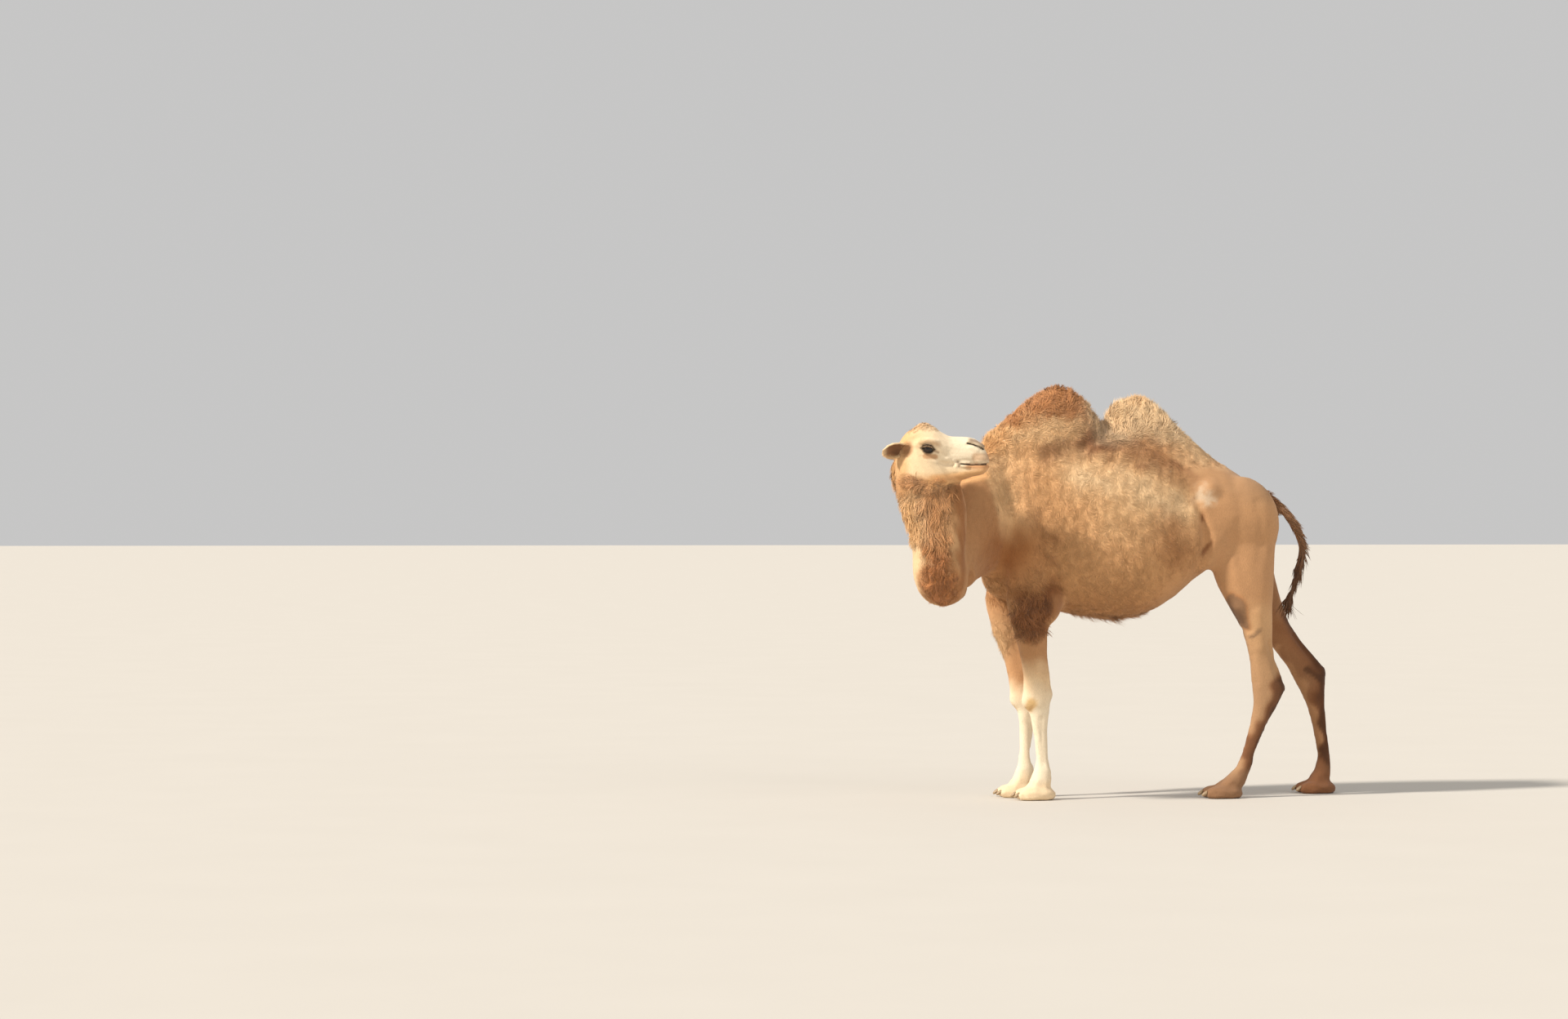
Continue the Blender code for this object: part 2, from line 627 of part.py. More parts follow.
def ear(side):
    """A cupped leaf: rings narrow to the tip, and each ring is a crescent open forwards and down."""
    rings, arc = [], 6
    for step, share in enumerate(EAR_LEAF):
        t = step / (len(EAR_LEAF) - 1)
        wide = EAR_WIDTH / 2 * share
        wall = EAR_WALL * (1 - EAR_THINNING * t)
        outer, inner = [], []
        for k in range(arc):
            angle = math.radians(EAR_WRAP * (2 * k / (arc - 1) - 1))
            outer.append((wide * math.sin(angle), -wide * EAR_CUP * math.cos(angle)))
            inner.append(((wide - wall) * math.sin(angle), -(wide * EAR_CUP - wall) * math.cos(angle)))
        rings.append([Vector((EAR_LENGTH * t - EAR_SUNK, y, z)) for y, z in outer + inner[::-1]])
    obj = loft("ear_left" if side > 0 else "ear_right", rings)
    way = Vector((EAR_POINTS.x, side * EAR_POINTS.y, EAR_POINTS.z)).normalized()
    opening = Vector((EAR_HOLLOW.x, side * EAR_HOLLOW.y, EAR_HOLLOW.z))
    opening = (opening - way * opening.dot(way)).normalized()
    across = opening.cross(way)
    turn = Matrix((way, across, opening)).transposed().to_4x4()
    root = Vector((EAR_ROOT.x, side * EAR_ROOT.y, EAR_ROOT.z))
    obj.data.transform(head_matrix() @ Matrix.Translation(root) @ turn)
    return obj


def nail(name, toe_x, y):
    """A blunt claw at the front of one toe."""
    rows = [(toe_x + back, y, z, deep, wide, 0, 0, 1) for back, z, deep, wide in NAIL]
    return bent_loft(name, rows, sides=8, steps=1)


# ---------------------------------------------------------------- assembly
def nails(pieces):
    """Two nails to a foot, each fitted to the toe behind it."""
    made = []
    for stem, feet in (("foreleg", FORE_FOOT), ("hind_leg", HIND_FOOT)):
        for side in (LEFT, RIGHT):
            toe_x, out = feet[side]
            foot = next(p for p in pieces if p.name == f"{stem}_{SIDE_NAME[side]}_foot")
            for word, step in (("inner", -1), ("outer", 1)):
                y = side * (out + step * TOE_SPREAD)
                made.append(fit_against(nail(f"{stem}_{SIDE_NAME[side]}_nail_{word}", toe_x, y), foot))
    return made


def part_leg(body, stem, side, cut, reach, joint):
    """Cuts one leg off the trunk by a slanting plane, then below the knee or hock and above the foot."""
    point, slant = cut
    place = facing((point[0], side * point[1], point[2]), (slant[0], side * slant[1], slant[2]))
    block = box("block", (-BEYOND, -BEYOND, 0), (BEYOND, BEYOND, BEYOND))
    block.data.transform(place)
    wider = box("wider", (-BEYOND, -BEYOND, -GAP), (BEYOND, BEYOND, BEYOND))
    wider.data.transform(place)
    inner, outer = sorted((side * GAP / 2, side))
    stall = box("stall", (reach[0], inner, -BEYOND), (reach[1], outer, BEYOND))
    inner, outer = sorted((-side * GAP / 2, side))
    wider_stall = box("wider stall", (reach[0] - GAP, inner, -BEYOND), (reach[1] + GAP, outer, BEYOND))
    boolean(block, stall, "INTERSECT")
    boolean(wider, wider_stall, "INTERSECT")
    upper = boolean(copy_of(body, f"{stem}_upper"), block, "INTERSECT")
    boolean(body, wider, "DIFFERENCE")
    remove(block, wider, stall, wider_stall)
    keep_largest(upper)
    lower = part_off(upper, f"{stem}_lower", *below(joint))
    sole = part_off(lower, f"{stem}_foot", *below(FETLOCK))
    return [upper, lower, sole]


def part_body(body):
    """Parts the body at the folds and joints a person would name."""
    pieces = []
    for side in (LEFT, RIGHT):
        word = SIDE_NAME[side]
        pieces += part_leg(body, f"foreleg_{word}", side, FORELEG_CUT, FORELEG_REACH, KNEE)
        pieces += part_leg(body, f"hind_leg_{word}", side, HIND_LEG_CUT, HIND_LEG_REACH, HOCK[side])
    upper_neck = part_off(body, "neck_upper", *NECK_BEND_BLOCK, facing(*NECK_BEND_CUT))
    lower_neck = part_off(body, "neck_lower", *NECK_ROOT_BLOCK, facing(*NECK_ROOT_CUT))
    front = part_off(body, "hump_front", *FRONT_HUMP_BLOCK)
    rear = part_off(body, "hump_rear", *REAR_HUMP_BLOCK)
    for piece in (upper_neck, lower_neck, front, rear):
        keep_largest(piece)
    return pieces + [upper_neck, lower_neck, front, rear]


def recentre(pieces):
    """Moves every piece so that the origin is at the middle of the box round them all, on the floor."""
    corners = [obj.matrix_world @ v.co for obj in pieces for v in obj.data.vertices]
    low = [min(c[i] for c in corners) for i in range(3)]
    high = [max(c[i] for c in corners) for i in range(3)]
    shift = Matrix.Translation((-(low[0] + high[0]) / 2, -(low[1] + high[1]) / 2, -low[2]))
    for obj in pieces:
        obj.data.transform(shift)


SLOT = {
    "hump_front": "rust_wool",
    "hump_rear": "pale_hair",
    "head": "pale_hair",
    "lower_jaw": "pale_hair",
    "ear": "pale_hair",
    "eye": "eye",
    "tail": "tail_hair",
    "nail": "nail",
    "trunk": "body_wool",
    "neck": "body_wool",
    "foreleg": "leg_hair",
    "hind_leg": "leg_hair",
}


def slot_of(name):
    if "nail" in name:
        return "nail"
    return next(slot for stem, slot in SLOT.items() if name.startswith(stem))


def main():
    clear_scene()
    body = fuse("trunk", body_lumps(), BODY_VOXEL, BODY_ROUNDS, BODY_FACES)
    cut_soles(body)
    head = fuse("head", head_lumps(), HEAD_VOXEL, HEAD_ROUNDS, HEAD_FACES)
    throat = facing(*THROAT_CUT)
    remove(part_off(body, "inner neck", *NECK_END_BLOCK, throat))
    whole_head, head = head, part_off(head, "head", *HEAD_BLOCK, throat)
    remove(whole_head)
    head.name = "head"
    pieces = [body, head] + part_body(body)
    jaw = part_off(head, "lower_jaw", *JAW_BLOCK, head_matrix())
    pieces.append(jaw)
    for side in (-1, 1):
        ball = eyeball(side)
        leaf = ear(side)
        fit_against(head, ball)
        fit_against(leaf, head)
        pieces += [ball, leaf]
    tail = bent_loft("tail_dock", TAIL, sides=10, steps=2)
    tuft = part_off(tail, "tail_tuft", *below(TAIL_CUT))
    pieces += [fit_against(tail, body), tuft]
    pieces += nails(pieces)
    for obj in pieces:
        finish(obj, slot_of(obj.name))
    recentre(pieces)


main()
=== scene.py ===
# %% [markdown]
# # A two-humped camel, dressed
#
# The frame holds the camel's flesh as plain solids, out to the tips of its coat. This script lays one
# sculpted skin inside them, sows wool and hair on it as thin solid tufts, and adds eyes, lashes and
# nails. Everything is measured from the frame, so the skin can't drift from the solids.

import math

import bpy
import numpy as np
from mathutils.bvhtree import BVHTree
from mathutils.kdtree import KDTree
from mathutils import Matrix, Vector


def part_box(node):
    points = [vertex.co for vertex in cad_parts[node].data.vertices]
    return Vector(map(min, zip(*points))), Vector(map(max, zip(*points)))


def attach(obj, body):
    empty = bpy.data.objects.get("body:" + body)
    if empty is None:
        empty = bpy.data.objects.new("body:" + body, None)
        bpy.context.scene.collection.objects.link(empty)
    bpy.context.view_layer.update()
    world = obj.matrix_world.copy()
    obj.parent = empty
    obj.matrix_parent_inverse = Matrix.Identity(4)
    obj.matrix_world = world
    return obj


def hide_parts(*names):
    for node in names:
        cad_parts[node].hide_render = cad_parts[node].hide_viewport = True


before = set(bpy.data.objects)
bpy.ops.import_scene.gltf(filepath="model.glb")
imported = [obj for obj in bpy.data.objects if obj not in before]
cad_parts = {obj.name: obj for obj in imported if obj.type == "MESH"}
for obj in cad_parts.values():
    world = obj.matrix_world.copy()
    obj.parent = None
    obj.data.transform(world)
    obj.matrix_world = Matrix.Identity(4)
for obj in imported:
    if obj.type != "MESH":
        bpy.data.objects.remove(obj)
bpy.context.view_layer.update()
NODE_NAMES = sorted(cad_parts)

# %% [markdown]
# Two sets of axes make the rest readable. The *body's* axes have their zero on the floor under the
# withers, x towards the tail. The *head's* axes start midway between the eyes and point forward
# along the muzzle, to the head's left, and up. Both come from where the frame has the eyes.

# %% Landmarks
UP = np.array((0, 0, 1))
SIDES = (-1, 1)


def unit(v):
    """Vectors (one, or a row each) made one metre long."""
    v = np.asarray(v, dtype=float)
    return v / np.maximum(np.linalg.norm(v, axis=-1, keepdims=True), 1e-9)


def middle(node):
    low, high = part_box(node)
    return (np.array(low) + np.array(high)) / 2


EYES = (middle("eye_left") + middle("eye_right")) / 2
HEAD_LEFT = unit(middle("eye_left") - middle("eye_right"))
HEAD_FORWARD = np.cross(HEAD_LEFT, UP)
WITHERS_FLOOR = EYES - np.array((-0.996, -0.42, 1.695))
EYE_OUT = np.linalg.norm(middle("eye_left") - middle("eye_right")) / 2
EYE_RADIUS = (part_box("eye_left")[1][2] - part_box("eye_left")[0][2]) / 2
EYE_CENTRES = {side: EYES + side * EYE_OUT * HEAD_LEFT for side in SIDES}


def body_axes(points):
    return points - WITHERS_FLOOR


def head_axes(points):
    d = points - EYES
    return np.stack((d @ HEAD_FORWARD, d @ HEAD_LEFT, d @ UP), axis=1)


print("eyes at", EYES.round(3), "ball radius", round(EYE_RADIUS, 4))

# %% [markdown]
# Sculpting by code needs soft masks: numbers from 0 to 1 that say how strongly a brush acts at each
# point. `ramp` rises between two values, `blob` fades out from a centre, and `strip` fades out
# from a bent line. The same masks place folds, choose hair lengths and paint the markings.

# %% Masks
def ease(x):
    x = np.clip(x, 0, 1)
    return x * x * (3 - 2 * x)


def ramp(x, start, end):
    return ease((x - start) / (end - start))


def blob(axes, centre, radii):
    q = (axes - np.array(centre)) / np.array(radii)
    return ease(1 - np.sqrt((q * q).sum(axis=1)))


def strip(axes, line, radius):
    best = np.full(len(axes), np.inf)
    for a, b in zip(line, line[1:]):
        a, b = np.array(a, dtype=float), np.array(b, dtype=float)
        t = np.clip((axes - a) @ (b - a) / ((b - a) @ (b - a)), 0, 1)
        best = np.minimum(best, np.linalg.norm(axes - (a + t[:, None] * (b - a)), axis=1))
    return ease(1 - best / radius)


print("ramp, blob and strip ready")

# %% [markdown]
# Most marks come in pairs, one on each flank or cheek. `mark` draws one of them, so that a table
# needs to give each place only once. A real coat is never even, so `ripple` adds a smooth
# random wave, which bends the edges of markings and varies the locks.

# %% Marks on one side, and a random wave
MIDLINE = 0.012  # a mark given by its side view stops this far from the middle


def mark(axes, place, reach, side=1, firm=0):
    """A mask on one side: round a point, or along a bent line. `firm` widens its full middle.

    Points of two numbers are seen from the side, lengthways and up, and mark all of that side.
    """
    place = np.array(place, dtype=float)
    if place.shape[-1] == 2:
        mask = strip(axes[:, [0, 2]], place, reach) * (side * axes[:, 1] > MIDLINE)
    else:
        place = place * (1, side, 1)
        mask = blob(axes, place, reach) if place.ndim == 1 else strip(axes, place, reach)
    return ease(firm * mask) if firm else mask


def mark_both(axes, place, reach, firm=0):
    return sum(mark(axes, place, reach, side, firm) for side in SIDES)


def ripple(points, size, seed):
    """A smooth random wave between -1 and 1, about `size` metres from crest to crest."""
    rng = np.random.default_rng(seed)
    total = np.zeros(len(points))
    for _ in range(5):
        way = unit(rng.normal(size=3))
        total += np.sin(points @ way * (2 * math.pi / size * rng.uniform(0.7, 1.4)) + rng.uniform(0, 6.3))
    return np.clip(total / 2.6, -1, 1)


print("marks ready")

# %% [markdown]
# ## The skin
#
# One closed skin has to replace more than twenty flesh solids without a seam. The solids are copied,
# swollen by a hair so that they overlap, joined, and passed through a voxel **Remesh**, which
# keeps only the outside. That gives even quads that a smoothing brush can work on.

# %% Copy, join and remesh
OVERLAP = 0.0006  # more than the gap between two solids


def deselect():
    bpy.ops.object.select_all(action="DESELECT")


def take(*objects):
    """Makes these the only selected objects, the first of them active."""
    deselect()
    for obj in objects:
        obj.select_set(True)
    bpy.context.view_layer.objects.active = objects[0]


def placed(title, mesh):
    obj = bpy.data.objects.new(title, mesh)
    bpy.context.scene.collection.objects.link(obj)
    return obj


def copy_of_solids(names, title):
    """A joined copy of some solids, its loose triangles merged."""
    copies = [placed(name + " copy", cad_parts[name].data.copy()) for name in names]
    take(*copies)
    bpy.ops.object.join()
    joined = copies[0]
    joined.name = title
    joined.data.materials.clear()
    bpy.ops.object.mode_set(mode="EDIT")
    bpy.ops.mesh.select_all(action="SELECT")
    bpy.ops.mesh.remove_doubles(threshold=0.00002)
    bpy.ops.mesh.select_all(action="DESELECT")
    bpy.ops.object.mode_set(mode="OBJECT")
    return joined


def add_applied(obj, kind, **settings):
    take(obj)
    modifier = obj.modifiers.new(kind.title(), kind)
    for key, value in settings.items():
        setattr(modifier, key, value)
    bpy.ops.object.modifier_apply(modifier=modifier.name)


def fused(names, title, grain):
    """One closed skin round some solids, in quads as wide as the grain."""
    whole = copy_of_solids(names, title)
    add_applied(whole, "DISPLACE", strength=OVERLAP, mid_level=0)
    add_applied(whole, "REMESH", mode="VOXEL", voxel_size=grain)
    return whole


print("remesh helpers ready")

# %% Fuse the flesh solids
BODY_GRAIN = 0.0135
EAR_GRAIN = 0.0024
EARS = ["ear_left", "ear_right"]
FLESH = [name for name in NODE_NAMES if "nail" not in name and name not in EARS]
skin = fused(FLESH, "skin", BODY_GRAIN)
print("fused skin quads:", len(skin.data.polygons))

# %% [markdown]
# The face needs folds a few millimetres wide, so the quads of the head are split in four each way,
# and those of the feet in two. The thin ears are remeshed on their own in small quads, and joined to
# the rest. A skin that is fine everywhere would be far too heavy.

# %% Refine the head and feet
FACE_BOX = ((-0.085, -0.13, -0.17), (0.33, 0.13, 1))  # in the head's axes
FEET_HEIGHTS = (0.012, 0.1)


def rows(items, key, columns, kind=float):
    """One property of all items of a mesh, a row for each."""
    values = np.empty(len(items) * columns, dtype=kind)
    items.foreach_get(key, values)
    return values.reshape(-1, columns)


def split_faces(obj, chosen, cuts):
    take(obj)
    bpy.context.tool_settings.mesh_select_mode = (False, False, True)
    obj.data.polygons.foreach_set("select", chosen)
    obj.data.update()
    bpy.ops.object.mode_set(mode="EDIT")
    bpy.ops.mesh.subdivide(number_cuts=cuts)
    bpy.ops.mesh.select_all(action="DESELECT")
    bpy.ops.mesh.select_face_by_sides(number=4, type="GREATER")
    bpy.ops.mesh.quads_convert_to_tris()
    bpy.ops.mesh.select_all(action="DESELECT")
    bpy.ops.object.mode_set(mode="OBJECT")


h = head_axes(rows(skin.data.polygons, "center", 3))
split_faces(skin, ((h > FACE_BOX[0]) & (h < FACE_BOX[1])).all(axis=1), 3)
print("skin faces after the face:", len(skin.data.polygons))
height = body_axes(rows(skin.data.polygons, "center", 3))[:, 2]
split_faces(skin, (height > FEET_HEIGHTS[0]) & (height < FEET_HEIGHTS[1]), 1)
ear_skin = fused(EARS, "ear skin", EAR_GRAIN)
take(skin, ear_skin)
bpy.ops.object.join()
print("skin faces with feet and ears:", len(skin.data.polygons))

# %% [markdown]
# The remesh cut the corners of small forms. Each point now moves back onto the nearest solid, and
# the same search says which solid it lies on, so that hair lengths can be given by body part.

# %% Snap to the solids and label each point
def corners(mesh):
    return rows(mesh.vertices, "co", 3)


def set_corners(mesh, points):
    mesh.vertices.foreach_set("co", points.reshape(-1))
    mesh.update()


def normals_of(mesh):
    return rows(mesh.vertex_normals, "vector", 3)


def triangles_of(mesh):
    mesh.calc_loop_triangles()
    return rows(mesh.loop_triangles, "vertices", 3, int)


solid_points, solid_tris, owner = [], [], []
start = 0
for node in FLESH + EARS:
    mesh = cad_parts[node].data
    tris = triangles_of(mesh)
    solid_points.append(corners(mesh))
    solid_tris.append(tris + start)
    owner += [NODE_NAMES.index(node)] * len(tris)
    start += len(mesh.vertices)
solids = BVHTree.FromPolygons(np.concatenate(solid_points).tolist(), np.concatenate(solid_tris).tolist())
points = corners(skin.data)
found = [solids.find_nearest(p) for p in points.tolist()]
on_solid, facing = np.array([f[0] for f in found]), np.array([f[1] for f in found])
label = np.array([owner[f[2]] for f in found])
agrees = (facing * normals_of(skin.data)).sum(axis=1) > 0.6
points = np.where(agrees[:, None], on_solid, points)
print("labelled points:", len(label))

# %% [markdown]
# Smoothing moves each point towards the middle of its neighbours. A plain smooth shrinks thin legs,
# so every shrinking step is followed by a slightly larger swelling one. The face keeps more of its
# shape than the barrel, so it gets fewer rounds.

# %% Smooth the skin
SHRINK, SWELL = 0.5, 0.53  # parts of the way to the neighbours' middle and back


def neighbour_mean(values):
    a, b = pairs.T
    count = np.bincount(a, minlength=len(values)) + np.bincount(b, minlength=len(values))
    columns = []
    for column in values.T:
        total = np.bincount(a, column[b], len(values)) + np.bincount(b, column[a], len(values))
        columns.append(total / np.maximum(count, 1))
    return np.stack(columns, axis=1)


def relax(points, rounds, weight):
    for _ in range(rounds):
        points = points + SHRINK * weight[:, None] * (neighbour_mean(points) - points)
        points = points - SWELL * weight[:, None] * (neighbour_mean(points) - points)
    return points


def soften(values, rounds):
    """Blurs a number (or a row of numbers) per point over the skin."""
    flat = values.ndim == 1
    values = values[:, None] if flat else values
    for _ in range(rounds):
        values = 0.5 * values + 0.5 * neighbour_mean(values)
    return values[:, 0] if flat else values


def belongs(owners, stems):
    """Which points or triangles lie on solids whose names start with one of the stems."""
    return np.isin(owners, [i for i, name in enumerate(NODE_NAMES) if name.startswith(stems)])


def labelled(*stems):
    return belongs(label, stems).astype(float)


pairs = rows(skin.data.edges, "vertices", 2, int)
on_head = soften(labelled("head", "lower_jaw", "eye"), 6)
on_ear = labelled("ear")
off_sole = 1 - ramp(-body_axes(points)[:, 2], -0.03, -0.008)
points = relax(points, 22, (1 - on_head) * off_sole * (1 - on_ear))
points = relax(points, 7, np.maximum(on_head, on_ear))
set_corners(skin.data, points)
print("smoothed")

# %% [markdown]
# ## How long the coat is
#
# The solids reach to the tips of the coat, so the skin has to sink by the coat's own depth: hardly
# at all on the face, several centimetres on the throat and humps. Each body part gets a hair
# length first, and the shorter and longer places are brushed over that.

# %% Hair length by body part
LENGTHS = {
    "head": 0.008,
    "lower_jaw": 0.008,
    "eye": 0.005,
    "ear": 0.009,
    "neck": 0.012,
    "trunk": 0.02,
    "hump": 0.024,
    "foreleg": 0.01,
    "hind_leg": 0.009,
    "tail_dock": 0.045,
    "tail_tuft": 0.08,
}


def toward(field, value, mask):
    return field + (value - field) * mask


length = np.zeros(len(label))
for stem, value in LENGTHS.items():
    length[belongs(label, stem)] = value
length = soften(length, 8)
print("hair lengths from", length.min().round(4), "to", length.max().round(4))

# %% [markdown]
# The neck bends round and then rises, so its front and back aren't at fixed places. An angle
# counted round its upright part tells throat from nape at every height. The humps get a
# line along their crests, and the haunch a slanting edge where the wool stops.

# %% Bands of the neck, humps and haunch
FRONT_CREST = ((-0.66, 0, 1.72), (-0.5, 0, 1.86), (-0.31, 0, 1.97), (-0.16, 0, 1.94), (-0.04, 0, 1.82))
REAR_CREST = ((0, 0, 1.86), (0.13, 0, 1.93), (0.26, 0, 1.87))


def neck_angle(b):
    """Degrees round the upright neck: 0 faces the tail, 90 faces left, 180 is the nape."""
    middle_x = np.interp(b[:, 2], (1.05, 1.23, 1.37, 1.49, 1.6), (-0.94, -0.948, -0.96, -0.994, -1.035))
    middle_y = np.interp(b[:, 2], (1.05, 1.23, 1.37, 1.6), (-0.445, -0.448, -0.434, -0.416))
    return np.degrees(np.arctan2(middle_y - b[:, 1], b[:, 0] - middle_x))


def upright_neck(b):
    """1 on the upright part of the neck and its bend, 0 elsewhere."""
    inward = ramp(b[:, 0] * 0.62 + b[:, 1] * 0.78, -0.835, -0.905)
    return inward * ramp(b[:, 2], 1.66, 1.6)


def throat_band(b):
    """1 down the middle of the throat, where the long locks hang."""
    middle_angle = np.interp(b[:, 2], (0.95, 1.1, 1.3, 1.45, 1.56), (96, 102, 108, 102, 88))
    reach = np.interp(b[:, 2], (0.95, 1.04, 1.12, 1.24, 1.42, 1.55), (120, 66, 42, 38, 50, 80))
    away = np.abs(neck_angle(b) - middle_angle)
    return ease(1.25 - away / reach) * upright_neck(b) * ramp(b[:, 2], 1.59, 1.53)


def nape_band(b):
    """1 down the back of the neck, where the mane hangs."""
    away = np.abs(np.abs(neck_angle(b)) - 172)
    return ease(1.4 - away / 36) * ramp(b[:, 2], 1.2, 1.34) * upright_neck(b)


def haunch(b):
    """1 on the smooth short hair of the thigh and rump."""
    return ramp(b[:, 0] + 0.25 * (b[:, 2] - 1.35), 0.34, 0.44) * ramp(b[:, 2], 1.66, 1.58)


print("bands ready")

# %% [markdown]
# Long wool grows in patches: on the crests of the humps, under the jaw, at the back of the skull, on
# the upper forelegs, along the belly and on the crown. Each patch is a mask, used again below for
# how the wool lies and what colour it has.

# %% Patches of longer wool
b, h = body_axes(points), head_axes(points)
x, y, z = b.T
front_crest = mark(b, FRONT_CREST, 0.2, firm=1.6)
rear_crest = mark(b, REAR_CREST, 0.24, firm=1.6)
jaw_wool = mark_both(h, ((-0.105, -0.15), (-0.05, -0.168), (0.02, -0.184), (0.075, -0.172)), 0.042, 1.5)
mane_top = mark(h, (-0.165, 0, -0.1), (0.055, 0.06, 0.11), firm=1.6)
elbow_wool = mark_both(b, (-0.445, 0.19, 0.915), (0.15, 0.16, 0.19), 1.8)
far_fore = mark(b, (-0.5, 0.14, 0.8), (0.13, 0.12, 0.2))
belly = mark(b, (-0.05, 0, 0.87), (0.38, 0.15, 0.08))
fringe = ease(1.6 * belly * (0.8 + 0.5 * ripple(b, 0.12, 44)))
topknot = mark(h, (-0.02, 0, 0.108), (0.125, 0.1, 0.08), firm=1.4)
ear_fringe = labelled("ear") * ramp(h[:, 2], -0.022, -0.042)
print("points with long wool:", int(sum((m > 0.5).sum() for m in (jaw_wool, elbow_wool, fringe, topknot))))

# %% Brush the lengths
off_head = 1 - labelled("head", "lower_jaw", "eye", "ear")
body_only = (1 - labelled("tail")) * off_head
off_chin = soften(off_head, 3)
throat_length = np.interp(z, (1.12, 1.32), (0.036, 0.078))
shoulders = [mark(b, (-0.56, 0.2, 1.24), (0.24, 0.26, 0.26), side, 1.5) for side in SIDES]
below_ears = [mark(h, (-0.1, 0.066, -0.012), (0.045, 0.04, 0.06), side, 1.5) for side in SIDES]
STROKES = [
    (0.034, front_crest),
    (0.042, rear_crest),
    (0.016, ramp(x, 0.06, 0.34) * ramp(z, 1.7, 1.5) * labelled("trunk")),
    (0.013, mark(b, (0.26, 0, 1.02), (0.3, 0.6, 0.22))),
    (0.009, haunch(b) * body_only),
    *[(0.012, mask) for mask in shoulders],
    (0.019, labelled("neck") * ramp(x, -0.84, -0.64) * ramp(y, -0.1, 0.02)),
    (throat_length, throat_band(b) * off_chin),
    (0.08, nape_band(b) * soften(off_chin, 6)),
    (0.03, jaw_wool),
    (0.055, mane_top),
    (0.058, elbow_wool),
    (0.03, ease(1.5 * far_fore)),
    (0.048, fringe),
    (0.02, topknot),
    (0.019, soften(ear_fringe, 3)),
    *[(0.02, mask * labelled("head")) for mask in below_ears],
]
for wanted, where in STROKES:
    length = toward(length, wanted, where)
print("coat length from", length.min().round(4), "to", length.max().round(3))

# %% [markdown]
# Lying hair is much less deep than it is long, so the skin sinks by a part of the length, and by
# fixed amounts where bone lies close under it. It sinks unevenly under wool, which gives the
# fleece its clumps.

# %% Sink the skin by the coat's depth
FLOOR_GAP = 0.0005  # the soles never pass through the floor
depth = np.minimum(0.38 * soften(length, 4), 0.022 - 0.014 * mane_top)
clumps = 0.5 + 0.3 * ripple(b, 0.06, 41) + 0.3 * ripple(b, 0.14, 42)
depth = depth + 0.004 * ramp(length, 0.013, 0.02) * clumps * body_only
depth = toward(depth, 0.026, soften(labelled("tail") * (x > 0.8), 6))
depth = toward(depth, 0.0035, soften(labelled("foreleg", "hind_leg"), 5) * ramp(z, 0.95, 0.8))
depth = toward(depth, 0.0015, ramp(z, 0.12, 0.08))
depth = toward(depth, 0.0006, labelled("ear"))
points = points - normals_of(skin.data) * depth[:, None]
points[:, 2] = np.maximum(points[:, 2], FLOOR_GAP)
points = relax(points, 4, off_sole)
print("skin sunk by up to", depth.max().round(3))

# %% [markdown]
# ## Sculpting
#
# Real muscle and bone show as hollows, ridges and folds. Each is one stroke of a brush: a mask says
# where, a depth says how far the skin moves along its normal. A negative depth raises the skin.

# %% The sculpting brush
def press(points, mask, depth):
    set_corners(skin.data, points)
    return points - normals_of(skin.data) * (mask * depth)[:, None]


def carve(points, axes, strokes, side=1, origin=(0, 0, 0)):
    """Presses strokes (place, reach, depth) on one side, their places counted from the origin."""
    for place, reach, depth in strokes:
        place = np.array(place, dtype=float)
        shift = np.array(origin)[[0, 2]] if place.shape[-1] == 2 else np.array(origin)
        points = press(points, mark(axes, place + shift, reach, side), depth)
    return points


print("brush ready")

# %% Trunk and haunches
FLANK_FOLD = ((0.375, 0.27, 1.46), (0.415, 0.26, 1.3), (0.424, 0.24, 1.17), (0.39, 0.2, 1.08))
BEHIND_SHOULDER = ((-0.44, 0.27, 1.4), (-0.345, 0.28, 1.2), (-0.33, 0.26, 1.07), (-0.36, 0.2, 0.98))
SHOULDER_FOLD = ((-0.46, 0.27, 1.43), (-0.4, 0.28, 1.34), *BEHIND_SHOULDER[1:])
TRUNK = (
    (FLANK_FOLD, 0.04, 0.026),
    (((0.345, 0.29, 1.4), (0.365, 0.28, 1.26), (0.36, 0.25, 1.14)), 0.05, -0.01),
    ((0.54, 0.22, 1.34), (0.13, 0.18, 0.24), -0.012),  # thigh muscle
    ((0.445, 0.22, 1.51), (0.08, 0.12, 0.07), -0.02),  # point of the hip
    ((0.33, 0.26, 1.48), (0.11, 0.14, 0.11), 0.016),  # hollow before it
    (((0.68, 0.18, 1.44), (0.7, 0.19, 1.26), (0.68, 0.18, 1.1)), 0.045, 0.009),
    (((0.56, 0.2, 1.16), (0.6, 0.19, 1.02), (0.64, 0.17, 0.9)), 0.04, -0.006),
    (SHOULDER_FOLD, 0.05, 0.026),
    (((-0.52, 0.25, 1.4), (-0.44, 0.26, 1.24), (-0.42, 0.25, 1.1)), 0.075, -0.014),  # shoulder blade
    (((-0.52, 0.2, 1.08), (-0.47, 0.18, 0.93), (-0.45, 0.15, 0.8)), 0.06, -0.008),  # arm
)
b = body_axes(points)
for side in SIDES:
    points = carve(points, b, TRUNK, side)
print("trunk and haunches sculpted")

# %% [markdown]
# Below the wool the legs are bone, tendon and callus: a knee pad of bare leathery skin, a hollow in
# front of the hock's tendon, a groove down each cannon, and two toes on a broad soft pad. The
# forelegs stand alike, so one table counted from the knee serves both. The hind legs stride.

